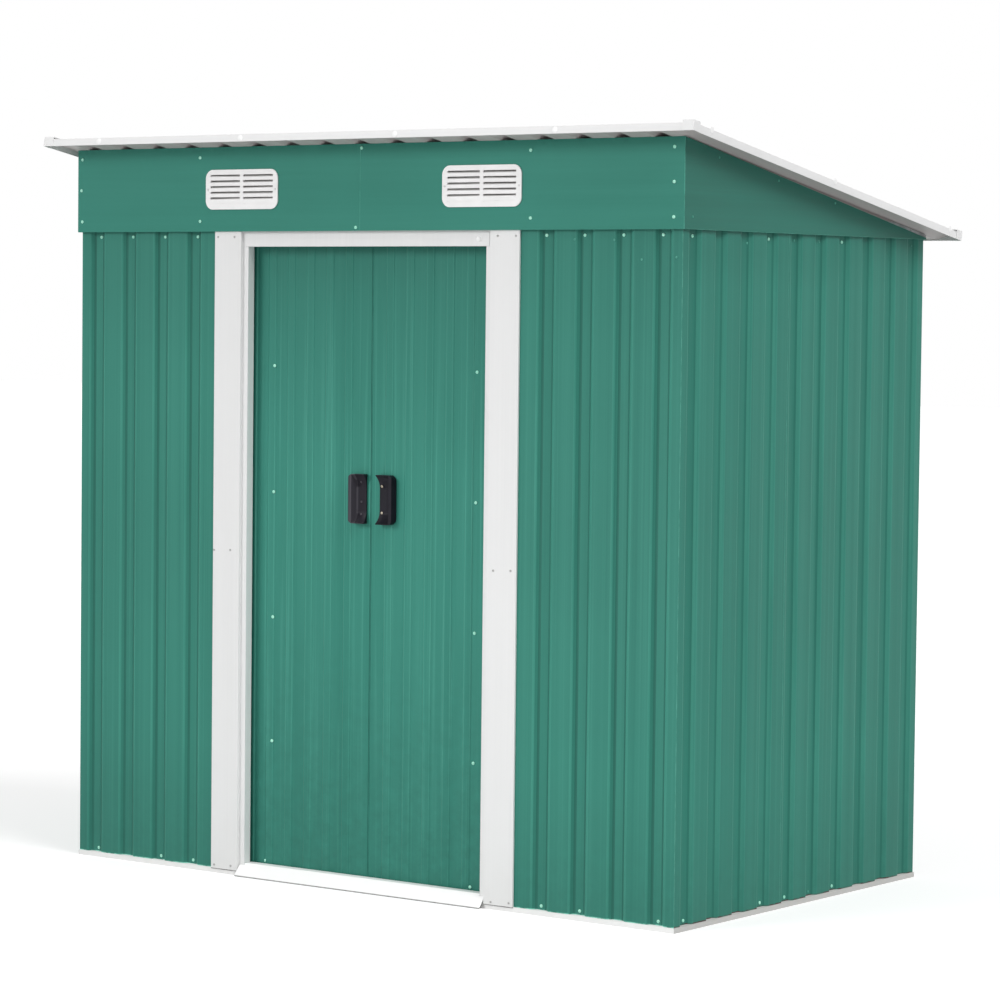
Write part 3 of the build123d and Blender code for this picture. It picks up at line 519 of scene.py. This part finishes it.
def makePaint(name, look):
    material, tree, shader, place = newMaterial(name)
    tones = {key: toLinear(look[key]) for key in ("tone", "shade", "light", "dark", "cutEdgeTone")}
    marks = addEffect(tree, "rollMarksAndSheen", Vector=place, Across=look["across"], Along=look["along"])
    patches = addEffect(tree, "patches", Vector=place, Scale=1.6)
    folds = foldMarks(tree)
    foot = look.get("foot", plainFoot)
    eavesLow, eavesHigh, eavesShadeAmount = look.get("eavesShade", plainEavesShade)
    lowDarkening = addEffect(tree, "heightTones", Vector=place, Reach=look.get("reach", plainReach),
                     Amount=look["lowDarkening"], Foot=foot["z"], Strip=foot["strip"], Whole=foot["whole"],
                     Eaves_Low=eavesLow, Eaves_High=eavesHigh)
    color = mixColor(tree, patches.outputs["Mask"], tones["shade"], tones["tone"])
    # the streaks are partly roll marks and partly painted sheen
    for label, key in (("Fine", "fine"), ("Broad", "broad"), ("Streaks", "streak")):
        rolled = addMath(tree, "MULTIPLY", marks.outputs[label], look[key])
        color = mixColor(tree, rolled, color, tones["light"])
    # painted shade and highlight on the ribs' sides, by which way each side faces
    if "slopes" in look:
        nearTone, nearAmount, awayAmount = look["slopes"]
        away = addMath(tree, "MULTIPLY", folds["slope"], -1.0)
        for mark, tone, amount in ((folds["slope"], nearTone, nearAmount), (away, "light", awayAmount)):
            flank = addEffect(tree, "foldPaintedLightAndWear", Vector=place, Mark=mark, Amount=amount, **foldPaintedLightAndWearOn["slope"])
            color = mixColor(tree, flank.outputs["Mask"], color, tones[tone])
    # painted shade in inner bends, painted highlight on outer bends, and paler cut edges: bare metal, with a
    # painted highlight along the fascia's and gables' edges
    for kind, key, tone in (("inner", "crease", "dark"), ("outer", "crest", "light"), ("cut", "cut", "cutEdgeTone")):
        wearAndPaintedLight = addEffect(tree, "foldPaintedLightAndWear", Vector=place, Mark=folds[kind], Amount=look[key], **foldPaintedLightAndWearOn[kind])
        color = mixColor(tree, wearAndPaintedLight.outputs["Mask"], color, tones[tone])
    # painted shade under the eaves and the door header
    if eavesShadeAmount:
        darkenBy = addMath(tree, "MULTIPLY", lowDarkening.outputs["Eaves Shade"], eavesShadeAmount)
        color = mixColor(tree, darkenBy, color, tones["dark"])
    if "under" in look:
        color = mixColor(tree, folds["under"], color, toLinear(look["under"]))
    # a speckled darker tone towards the ground
    color = mixColor(tree, lowDarkening.outputs["Mask"], color, toLinear(look.get("lowTone", plainLowTone)))
    # the foot strip: chipped paint on the front and back walls, painted shadow on the side walls, jambs and
    # sill
    if "foot" in look:
        color = mixColor(tree, lowDarkening.outputs["Foot Strip"], color, toLinear(foot["tone"]))
    tree.links.new(color, shader.inputs["Base Color"])
    mottled = addMath(tree, "ADD", addMath(tree, "MULTIPLY", marks.outputs["Fine"], 0.5),
                      addMath(tree, "MULTIPLY", patches.outputs["Mask"], 0.5))
    tree.links.new(addRange(tree, mottled, 0.0, 1.0, *look["rough"]), shader.inputs["Roughness"])
    peel = addEffect(tree, "orangePeel", Vector=place, Scale=420.0, Height=look["peel"],
                     Marks=marks.outputs["Fine"], Mark_Height=look["marks"], Wave_Height=look["waves"])
    tree.links.new(peel.outputs["Normal"], shader.inputs["Normal"])
    shader.inputs["Specular IOR Level"].default_value = look["gloss"]
    return material


metals = {
    "zincSteel": {"tone": (176, 178, 180), "dark": (146, 149, 152), "rough": (0.28, 0.50), "scale": 110.0},
    "yellowZinc": {"tone": (182, 173, 156), "dark": (142, 133, 118), "rough": (0.34, 0.46), "scale": 900.0},
}


def makeMetal(name, look):
    material, tree, shader, place = newMaterial(name)
    spangle = addEffect(tree, "spangle", Vector=place, Scale=look["scale"])
    patches = addEffect(tree, "patches", Vector=place, Scale=6.0)
    frost = mixColor(tree, spangle.outputs["Mask"], toLinear(look["dark"]), toLinear(look["tone"]))
    darkenBy = addMath(tree, "MULTIPLY", patches.outputs["Mask"], 0.35)
    tree.links.new(mixColor(tree, darkenBy, frost, toLinear(look["dark"])), shader.inputs["Base Color"])
    roughness = addRange(tree, spangle.outputs["Mask"], 0.0, 1.0, *look["rough"])
    tree.links.new(roughness, shader.inputs["Roughness"])
    peel = addEffect(tree, "orangePeel", Vector=place, Scale=600.0, Height=0.00004,
                     Marks=spangle.outputs["Fine"], Mark_Height=0.00003)
    tree.links.new(peel.outputs["Normal"], shader.inputs["Normal"])
    shader.inputs["Metallic"].default_value = 0.9
    return material


plastics = {
    "whitePlastic": {"tone": (232, 231, 231), "other": (226, 225, 225), "wearAndPaintedLight": (238, 237, 236),
                     "rough": (0.38, 0.50), "gloss": 0.4, "grain": 900.0, "height": 0.00004, "amount": 0.3},
    "capPlastic": {"tone": (246, 246, 246), "other": (240, 240, 240), "wearAndPaintedLight": (250, 250, 250),
                   "rough": (0.30, 0.42), "gloss": 0.5, "grain": 900.0, "height": 0.00002, "amount": 0.3},
    "blackPlastic": {"tone": (19, 18, 26), "other": (26, 24, 33), "wearAndPaintedLight": (60, 57, 68),
                     "rough": (0.38, 0.50), "gloss": 0.16, "grain": 800.0, "height": 0.00006, "amount": 0.30},
    "sealRubber": {"tone": (44, 116, 102), "other": (38, 106, 93), "wearAndPaintedLight": (60, 134, 119),
                   "rough": (0.50, 0.65), "gloss": 0.2, "grain": 900.0, "height": 0.00004, "amount": 0.2},
    "greyPlastic": {"tone": (78, 75, 82), "other": (66, 63, 70), "wearAndPaintedLight": (104, 100, 108),
                    "rough": (0.38, 0.50), "gloss": 0.3, "grain": 800.0, "height": 0.00004, "amount": 0.4},
    "paleGreen": {"tone": (96, 176, 158), "other": (84, 162, 145), "wearAndPaintedLight": (130, 205, 186),
                  "rough": (0.30, 0.45), "gloss": 0.3, "grain": 1200.0, "height": 0.00002, "amount": 0.4},
    "greyPaint": {"tone": (190, 189, 188), "other": (176, 175, 174), "wearAndPaintedLight": (216, 215, 214),
                  "rough": (0.30, 0.45), "gloss": 0.4, "grain": 1200.0, "height": 0.00002, "amount": 0.4},
    # the screw heads' pale mint is partly their paint and partly a painted highlight
    "mintPaint": {"tone": (188, 248, 228), "other": (170, 240, 218), "wearAndPaintedLight": (220, 250, 240),
                  "rough": (0.25, 0.40), "gloss": 0.5, "grain": 1200.0, "height": 0.00002, "amount": 0.4},
}
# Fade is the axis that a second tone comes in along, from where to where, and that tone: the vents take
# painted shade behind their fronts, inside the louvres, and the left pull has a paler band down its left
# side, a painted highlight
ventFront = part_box("vent_right")[0].y
pullLow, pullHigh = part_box("door_handle_left")
bandStart, bandFull = (pullLow.x + share * (pullHigh.x - pullLow.x) for share in (0.47, 0.42))
plastics["ventPlastic"] = dict(
    plastics["whitePlastic"], tone=(247, 246, 246), other=(242, 241, 241), wearAndPaintedLight=(249, 248, 248),
    fade=("Y", ventFront + 0.0012, ventFront + 0.0040, (196, 194, 192)))
plastics["leftPullPlastic"] = dict(
    plastics["blackPlastic"], tone=(23, 20, 29), other=(28, 25, 34),
    fade=("X", bandStart, bandFull, (62, 60, 67)))


def makePlastic(name, look):
    material, tree, shader, place = newMaterial(name)
    patches = addEffect(tree, "patches", Vector=place, Scale=30.0)
    folds = foldMarks(tree)
    # paler edges: partly rubbed wear and partly a painted highlight
    rubbedAndLitEdges = addMath(tree, "MAXIMUM", folds["outer"], folds["cut"])
    edgeWearAndHighlight = addEffect(tree, "foldPaintedLightAndWear", Vector=place, Mark=rubbedAndLitEdges, Scale=60.0, Keep=0.2,
                     Amount=look["amount"])
    color = mixColor(tree, patches.outputs["Mask"], toLinear(look["tone"]), toLinear(look["other"]))
    color = mixColor(tree, edgeWearAndHighlight.outputs["Mask"], color, toLinear(look["wearAndPaintedLight"]))
    if "fade" in look:
        axis, start, end, tone = look["fade"]
        parts = tree.nodes.new("ShaderNodeSeparateXYZ")
        tree.links.new(place, parts.inputs[0])
        color = mixColor(tree, addRange(tree, parts.outputs[axis], start, end), color, toLinear(tone))
    tree.links.new(color, shader.inputs["Base Color"])
    roughness = addRange(tree, patches.outputs["Mask"], 0.0, 1.0, *look["rough"])
    tree.links.new(roughness, shader.inputs["Roughness"])
    peel = addEffect(tree, "orangePeel", Vector=place, Scale=look["grain"], Height=look["height"])
    tree.links.new(peel.outputs["Normal"], shader.inputs["Normal"])
    shader.inputs["Specular IOR Level"].default_value = look["gloss"]
    return material


finishes = {name: makePaint(name, look) for name, look in paints.items()}
finishes.update({name: makeMetal(name, look) for name, look in metals.items()})
finishes.update({name: makePlastic(name, look) for name, look in plastics.items()})
print("finishes made: " + ", ".join(sorted(finishes)))

# Which finish each folded or moulded piece takes, the record's slot for it, and how round its
# bends and its cut edges are, in metres
skins = [
    (("front_wall_", "back_wall_"), "wallPaint", "green_sheet", 0.0034, 0.0005),
    (("side_wall_",), "sideWallShadedPaint", "green_sheet", 0.0034, 0.0005),
    (("fascia_front_",), "fasciaPaint", "green_sheet", 0.0, 0.0011),
    (("gable_left", "gable_right"), "gableShadedPaint", "green_sheet", 0.0, 0.0014),
    (("door_leaf_", "door_lap_strip"), "doorPaint", "green_sheet", 0.0014, 0.0005),
    (("door_jamb_", "door_header"), "whitePaint", "white_trim", 0.0012, 0.0006),
    (("base_rail_front_",), "frontRailPaint", "white_trim", 0.0012, 0.0005),
    (("door_sill",), "sillPaint", "white_trim", 0.0012, 0.0005),
    (("base_rail_left", "base_rail_right", "base_rail_back"), "sideRailShadedPaint", "white_trim", 0.0, 0.0005),
    (("roof_trim_", "roof_corner_caps"), "trimPaint", "white_trim", 0.0, 0.0006),
    (("roof_sheet_",), "roofPaint", "roof_sheet", 0.0026, 0.0005),
    (("gable_rail_",), "primerPaint", "plain_steel", 0.0, 0.0004),
    (("top_rail_", "roof_rail_", "roof_beam"), "zincSteel", "plain_steel", 0.0, 0.0),
    (("top_track", "bottom_track", "door_brace_"), "zincSteel", "plain_steel", 0.0, 0.0),
    (("vent_",), "ventPlastic", "white_plastic", 0.0, 0.00035),
    (("door_handle_left",), "leftPullPlastic", "black_plastic", 0.0014, 0.0014),
    (("door_handle_right",), "blackPlastic", "black_plastic", 0.0014, 0.0014),
    (("door_runners_",), "blackPlastic", "black_plastic", 0.0, 0.0008),
]
flatUnder = 1.5      # degrees between two faces that still count as flat
cutOver = 62.0       # degrees past which a corner is a cut edge, not a fold
sharpest = 181.0     # degrees, more than any corner has
sameFace = 0.5       # degrees under which the CAD mesh's triangles are one face
samePoint = 0.00001  # metres under which its points are one point
bendSteps = 3
edgeSteps = 2
outerMark, innerMark, cutMark = 1, 2, 3
slopedOver = 0.3     # of a face's direction, both across and deep, in a rib's side
underBelow = -0.45   # of a face's direction, upwards, in an underside


def selectOnly(piece):
    bpy.ops.object.select_all(action="DESELECT")
    piece.select_set(True)
    bpy.context.view_layer.objects.active = piece


def editAlone(piece):
    selectOnly(piece)
    bpy.ops.object.mode_set(mode="EDIT")
    bpy.ops.mesh.select_mode(type="EDGE")


def selectFolds(piece, low, high):
    # selects the edges that fold by low to high degrees; a fold inwards counts as negative
    bpy.ops.mesh.select_all(action="DESELECT")
    mesh = bmesh.from_edit_mesh(piece.data)
    found = 0
    for edge in mesh.edges:
        if len(edge.link_faces) == 2 and low < math.degrees(edge.calc_face_angle_signed()) <= high:
            edge.select_set(True)
            found += 1
    mesh.select_flush_mode()
    bmesh.update_edit_mesh(piece.data)
    return found


def roundFolds(piece, low, high, width, segments, mark):
    # mark is the material slot that the new faces take, read by markFolds
    if width and selectFolds(piece, low, high):
        bpy.ops.mesh.bevel(offset=width, segments=segments, affect="EDGES", clamp_overlap=True, material=mark)


def markFolds(piece):
    # keeps which faces are outer bends, inner bends, cut edges, ribs' sides and undersides, for the
    # finishes to read. A rib's side counts 1 where it is turned to the front right, else -1
    piece.data.attributes.new("folds", "FLOAT_VECTOR", "FACE")
    piece.data.attributes.new("slope", "FLOAT", "FACE")
    piece.data.attributes.new("under", "FLOAT", "FACE")
    marks, slopes, unders = (piece.data.attributes[name].data for name in ("folds", "slope", "under"))
    kinds = {0: (0, 0, 0), outerMark: (1, 0, 0), innerMark: (0, 1, 0), cutMark: (0, 0, 1)}
    for index, face in enumerate(piece.data.polygons):
        toward = face.normal
        marks[index].vector = kinds[face.material_index]
        unders[index].value = 1.0 if toward.z < underBelow else 0.0
        if face.material_index == 0 and min(abs(toward.x), abs(toward.y)) > slopedOver:
            # the sign sets which of a finish's two painted tones, shade and highlight, a rib's side takes
            slopes[index].value = 1.0 if toward.x > 0 > toward.y else -1.0
        face.material_index = 0


def smoothShade(piece, degrees=40.0):
    selectOnly(piece)
    bpy.ops.object.shade_smooth_by_angle(angle=math.radians(degrees))
    weighted = piece.modifiers.new("weightedNormals", "WEIGHTED_NORMAL")
    weighted.keep_sharp = True
    bpy.ops.object.modifier_apply(modifier=weighted.name)


def softenNode(name, finish, bend, edge):
    # a copy of the CAD piece with its bends and cut edges rounded, as folded sheet has them
    piece = bpy.data.objects.new(name + "_shaped", nodes[name].data.copy())
    scene.collection.objects.link(piece)
    piece.data.materials.clear()
    for markSlot in range(cutMark + 1):
        piece.data.materials.append(finish)
    editAlone(piece)
    bpy.ops.mesh.select_all(action="SELECT")
    bpy.ops.mesh.remove_doubles(threshold=samePoint)
    bpy.ops.mesh.dissolve_limited(angle_limit=math.radians(sameFace))
    roundFolds(piece, -cutOver, -flatUnder, bend, bendSteps, innerMark)
    roundFolds(piece, flatUnder, cutOver, bend, bendSteps, outerMark)
    roundFolds(piece, cutOver, sharpest, edge, edgeSteps, cutMark)
    bpy.ops.object.mode_set(mode="OBJECT")
    markFolds(piece)
    while len(piece.data.materials) > 1:
        piece.data.materials.pop(index=1)
    smoothShade(piece)
    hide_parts(name)
    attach(piece, bodyOf[name])
    return piece


shaped = {}
for starts, finishName, slotName, bend, edge in skins:
    for name in sorted(nodes):
        if name.startswith(starts):
            if bend or edge:
                shaped[name] = softenNode(name, finishes[finishName], bend, edge)
            else:
                nodes[name].data.materials.clear()
                nodes[name].data.materials.append(finishes[finishName])
    print("finished: " + starts[0])
left = [name for name in nodes if name not in shaped and not nodes[name].data.materials]
print("pieces without a finish: %s" % left)

# Seal: a soft green bead down the right leaf's meeting edge, which nearly closes the gap
seal = {
    "width": 0.0045,
    "depth": 0.0090,
    "round": 0.0010,
    "setBack": 0.0018,     # behind the front of the leaf's ribs
    "endGap": 0.0030,
    "roundSteps": 3,
}


def addSeal(look):
    low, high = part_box("door_leaf_right")
    size = (look["width"], look["depth"], high.z - low.z - 2 * look["endGap"])
    middle = (low.x - size[0] / 2, low.y + look["setBack"] + size[1] / 2, (high.z + low.z) / 2)
    bpy.ops.object.select_all(action="DESELECT")
    bpy.ops.mesh.primitive_cube_add(size=1, location=middle)
    bead = bpy.context.object
    bead.name = "door_seal"
    bead.scale = size
    bpy.ops.object.transform_apply(location=True, rotation=True, scale=True)
    editAlone(bead)
    bpy.ops.mesh.select_all(action="DESELECT")
    mesh = bmesh.from_edit_mesh(bead.data)
    for edge in mesh.edges:
        upright = abs(edge.verts[0].co.z - edge.verts[1].co.z) > size[2] / 2
        edge.select_set(upright and edge.verts[0].co.y < middle[1])
    bmesh.update_edit_mesh(bead.data)
    bpy.ops.mesh.bevel(offset=look["round"], segments=look["roundSteps"], affect="EDGES")
    bpy.ops.object.mode_set(mode="OBJECT")
    bead.data.materials.append(finishes["sealRubber"])
    smoothShade(bead)
    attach(bead, bodyOf["door_leaf_right"])
    return bead


addSeal(seal)
print("seal made")

# Screw heads, each turned up from a disc. The rings give how far out of the full radius and how
# high each step of the head is; cross is the recess's reach, width and depth
heads = {
    "panHead": {"radius": 0.0040, "sides": 16, "cross": (0.0046, 0.0011, 0.0012),
                "rings": ((1.0, 0.0008), (0.93, 0.0015), (0.78, 0.0020), (0.55, 0.0023))},
    "handleHead": {"radius": 0.0034, "sides": 16, "cross": (0.0040, 0.0010, 0.0010),
                   "rings": ((1.0, 0.0007), (0.92, 0.0013), (0.70, 0.0018))},
    "smallHead": {"radius": 0.0028, "sides": 14, "cross": (0.0032, 0.0008, 0.0009),
                  "rings": ((1.0, 0.0006), (0.90, 0.0011), (0.65, 0.0015))},
    "domedCap": {"radius": 0.0075, "sides": 20, "cross": None,
                 "rings": ((1.0, 0.0006), (0.80, 0.0009), (0.74, 0.0022), (0.58, 0.0033), (0.34, 0.0040))},
    "flatCap": {"radius": 0.0075, "sides": 20, "cross": None,
                "rings": ((1.0, 0.0004), (0.86, 0.0008), (0.62, 0.0011), (0.36, 0.0013))},
}


def cutCross(head, look):
    reach, width, depth = look["cross"]
    top = look["rings"][-1][1]
    for size in ((reach, width, 2 * depth), (width, reach, 2 * depth)):
        bpy.ops.object.select_all(action="DESELECT")
        bpy.ops.mesh.primitive_cube_add(size=1, location=(0, 0, top))
        bar = bpy.context.object
        bar.scale = size
        bpy.ops.object.transform_apply(location=True, rotation=True, scale=True)
        cut = head.modifiers.new("cross", "BOOLEAN")
        cut.object = bar
        cut.solver = "EXACT"
        bpy.context.view_layer.objects.active = head
        bpy.ops.object.modifier_apply(modifier=cut.name)
        bpy.data.objects.remove(bar)


def turnHead(name, look):
    bpy.ops.object.select_all(action="DESELECT")
    start = look["rings"][0][1]
    bpy.ops.mesh.primitive_cylinder_add(vertices=look["sides"], radius=look["radius"],
                                        depth=start, location=(0, 0, start / 2))
    head = bpy.context.object
    head.name = name
    bpy.ops.object.transform_apply(location=True, rotation=True, scale=True)
    editAlone(head)
    bpy.ops.mesh.select_mode(type="FACE")
    bpy.ops.mesh.select_all(action="DESELECT")
    mesh = bmesh.from_edit_mesh(head.data)
    for face in mesh.faces:
        face.select_set(face.normal.z > 0.9)
    bmesh.update_edit_mesh(head.data)
    for (wide, low), (narrow, high) in zip(look["rings"], look["rings"][1:]):
        bpy.ops.mesh.extrude_region_move(TRANSFORM_OT_translate={"value": (0, 0, high - low)})
        bpy.ops.transform.resize(value=(narrow / wide, narrow / wide, 1))
    bpy.ops.object.mode_set(mode="OBJECT")
    if look["cross"]:
        cutCross(head, look)
    return head


headMeshes = {}
for headName, headLook in heads.items():
    turned = turnHead(headName, headLook)
    headMeshes[headName] = turned.data.copy()
    bpy.data.objects.remove(turned)
print("screw heads made")

# Where the screws sit. Each row: the head, its finish and slot, the nodes that it goes into, the
# way that it is driven, and its places across and up, or across and along for the roof
ribPitch = 0.1067
wallColumns = [k * ribPitch - 0.006 for k in (5, 6, 7, 8)]
wallFootPlaces = [(x, 0.0215) for x in (-0.847, -0.636, -0.530, 0.5335, 0.6415, 0.858)]
sidePlaces = ((-0.480, 1.558), (-0.163, 1.558), (0.160, 1.558), (-0.480, 0.022), (-0.160, 0.022),
              (-0.053, 0.022), (0.160, 0.022))
sideSmallPlaces = ((-0.254, 1.547), (-0.052, 1.557), (0.058, 1.557), (0.487, 1.556), (0.053, 0.022))
gablePlaces = ((-0.505, 1.600), (-0.400, 1.735), (-0.150, 1.692), (0.100, 1.648))
roofFall = math.tan(math.radians(10.23))
trimSidePlaces = [(y, 1.790 - (y + 0.524) * roofFall) for y in (-0.524, 0.0, 0.539)]
trimFrontZ = sum(corner.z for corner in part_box("roof_trim_front")) / 2
trimBackZ = sum(corner.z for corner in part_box("roof_trim_back")) / 2
ventZ = sum(corner.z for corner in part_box("vent_right")) / 2
ventX = {side: sum(corner.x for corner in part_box("vent_" + side)) / 2 for side in ("left", "right")}
handleZ = sum(corner.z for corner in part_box("door_handle_right")) / 2
toBack, toFront, toLeft, toRight, down = (0, 1, 0), (0, -1, 0), (-1, 0, 0), (1, 0, 0), (0, 0, -1)

screws = {
    "wall_screws_front": ("panHead", "mintPaint", "plain_steel", ("front_wall_",), toBack, [
        (side * x, 1.560) for x in wallColumns for side in (-1, 1)] + wallFootPlaces),
    "wall_rivets_front": ("smallHead", "paleGreen", "plain_steel", ("front_wall_",), toBack, [
        (0.612, 1.550), (0.721, 1.549), (0.796, 1.505), (0.889, 1.510)]),
    "wall_screws_right": ("panHead", "mintPaint", "plain_steel", ("side_wall_right_",), toLeft, sidePlaces),
    "wall_rivets_right": (
        "smallHead", "paleGreen", "plain_steel", ("side_wall_right_",), toLeft, sideSmallPlaces),
    "wall_screws_left": ("panHead", "mintPaint", "plain_steel", ("side_wall_left_",), toRight, sidePlaces),
    "wall_rivets_left": (
        "smallHead", "paleGreen", "plain_steel", ("side_wall_left_",), toRight, sideSmallPlaces),
    "wall_screws_back": ("panHead", "mintPaint", "plain_steel", ("back_wall_",), toFront, [
        (k * ribPitch, z) for k in range(-8, 9, 2) for z in (1.558, 0.022)]),
    "fascia_screws": ("panHead", "mintPaint", "plain_steel", ("fascia_front_",), toBack, [
        (-0.898, 1.753), (-0.901, 1.676), (-0.898, 1.598), (-0.507, 1.752), (-0.506, 1.597), (-0.018, 1.580),
        (-0.002, 1.767), (0.492, 1.753), (0.493, 1.599), (0.886, 1.754), (0.886, 1.677), (0.886, 1.599)]),
    "gable_screws_right": ("smallHead", "paleGreen", "plain_steel", ("gable_right",), toLeft, gablePlaces),
    "gable_screws_left": ("smallHead", "paleGreen", "plain_steel", ("gable_left",), toRight, gablePlaces),
    "jamb_screws": ("smallHead", "greyPaint", "plain_steel", ("door_jamb_",), toBack, [
        (-0.450, 1.559), (-0.398, 1.559), (0.398, 1.559), (0.450, 1.559), (-0.457, 0.795), (-0.405, 0.797),
        (0.395, 0.788), (0.445, 0.790), (-0.450, 0.020), (-0.397, 0.022), (0.398, 0.018), (0.450, 0.021)]),
    "header_cap": ("domedCap", "capPlastic", "white_plastic", ("door_header",), toBack, [(0.340, 1.552)]),
    "door_screws_left": ("panHead", "mintPaint", "plain_steel", ("door_leaf_left",), toBack, [
        (-0.301, 1.248), (-0.301, 0.942), (-0.301, 0.637), (-0.301, 0.334), (-0.3205, 0.038)]),
    "door_screws_right": ("panHead", "mintPaint", "plain_steel", ("door_leaf_right",), toBack, [
        (0.312, 1.244), (0.312, 0.940), (0.312, 0.635), (0.312, 0.330), (0.3066, 0.038)]),
    "handle_screws_right": ("handleHead", "yellowZinc", "plain_steel", ("door_handle_right",), toBack, [
        (0.0367, handleZ + 0.0315), (0.0367, handleZ - 0.0315)]),
    "handle_screws_left": ("smallHead", "greyPlastic", "black_plastic", ("door_handle_left",), toBack, [
        (-0.0257, handleZ + 0.040), (-0.0257, handleZ - 0.007), (-0.0257, handleZ - 0.037)]),
    "vent_screws": ("smallHead", "whitePlastic", "white_plastic", ("vent_",), toBack, [
        (ventX[side] + reach, ventZ) for side in ("left", "right") for reach in (-0.107, 0.107)]),
    "trim_caps_front": ("flatCap", "capPlastic", "white_plastic", ("roof_trim_front",), toBack, [
        (x, trimFrontZ) for x in (-0.790, -0.330, 0.142, 0.600)]),
    "trim_caps_back": ("flatCap", "capPlastic", "white_plastic", ("roof_trim_back",), toFront, [
        (x, trimBackZ) for x in (-0.790, -0.265, 0.265, 0.790)]),
    "trim_caps_right": (
        "flatCap", "capPlastic", "white_plastic", ("roof_trim_right",), toLeft, trimSidePlaces),
    "trim_caps_left": (
        "flatCap", "capPlastic", "white_plastic", ("roof_trim_left",), toRight, trimSidePlaces),
    "roof_caps": ("domedCap", "capPlastic", "white_plastic", ("roof_sheet_",), down, [
        (k * ribPitch, y) for k in range(-8, 9, 2) for y in (-0.50, 0.51)] + [
        (k * ribPitch, 0.0) for k in range(-6, 7, 2)]),
}
startAway = 3.0               # metres from the middle, where a screw's way in begins
firstTwist, nextTwist = 0.7, 1.9   # radians, so that no two crosses line up


def surfaceTree(starts):
    # the CAD surfaces that the screws go into, as one tree for finding where a screw sits
    corners, faces = [], []
    for name in sorted(nodes):
        if name.startswith(starts):
            mesh = nodes[name].data
            first = len(corners)
            corners += [vertex.co.copy() for vertex in mesh.vertices]
            faces += [[first + v for v in face.vertices] for face in mesh.polygons]
    return BVHTree.FromPolygons(corners, faces)


def startOf(place, way):
    first, second = place
    if way[2]:
        return Vector((first, second, startAway))
    if way[0]:
        return Vector((-startAway * way[0], first, second))
    return Vector((first, -startAway * way[1], second))


def addScrews(name, headName, finish, slot, starts, way, places):
    tree = surfaceTree(starts)
    copies = []
    for index, place in enumerate(places):
        spot, facing = tree.ray_cast(startOf(place, way), Vector(way))[:2]
        if spot is None:
            print("no surface for a screw of %s at %s" % (name, (place,)))
            continue
        turned = facing.to_track_quat("Z", "Y").to_matrix().to_4x4()
        twist = Matrix.Rotation(firstTwist + nextTwist * index, 4, "Z")
        mesh = headMeshes[headName].copy()
        mesh.transform(Matrix.Translation(spot) @ turned @ twist)
        copy = bpy.data.objects.new(name, mesh)
        scene.collection.objects.link(copy)
        copies.append(copy)
    bpy.ops.object.select_all(action="DESELECT")
    for copy in copies:
        copy.select_set(True)
    group = copies[0]
    bpy.context.view_layer.objects.active = group
    if len(copies) > 1:
        bpy.ops.object.join()
    group.name = name
    group.data.materials.clear()
    group.data.materials.append(finishes[finish])
    smoothShade(group, degrees=35.0)
    bodies = {bodyOf[node] for node in nodes if node.startswith(starts)}
    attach(group, bodies.pop())
    return len(copies)


placed = {name: addScrews(name, *row) for name, row in screws.items()}
print("screws placed: %d in %d groups" % (sum(placed.values()), len(placed)))
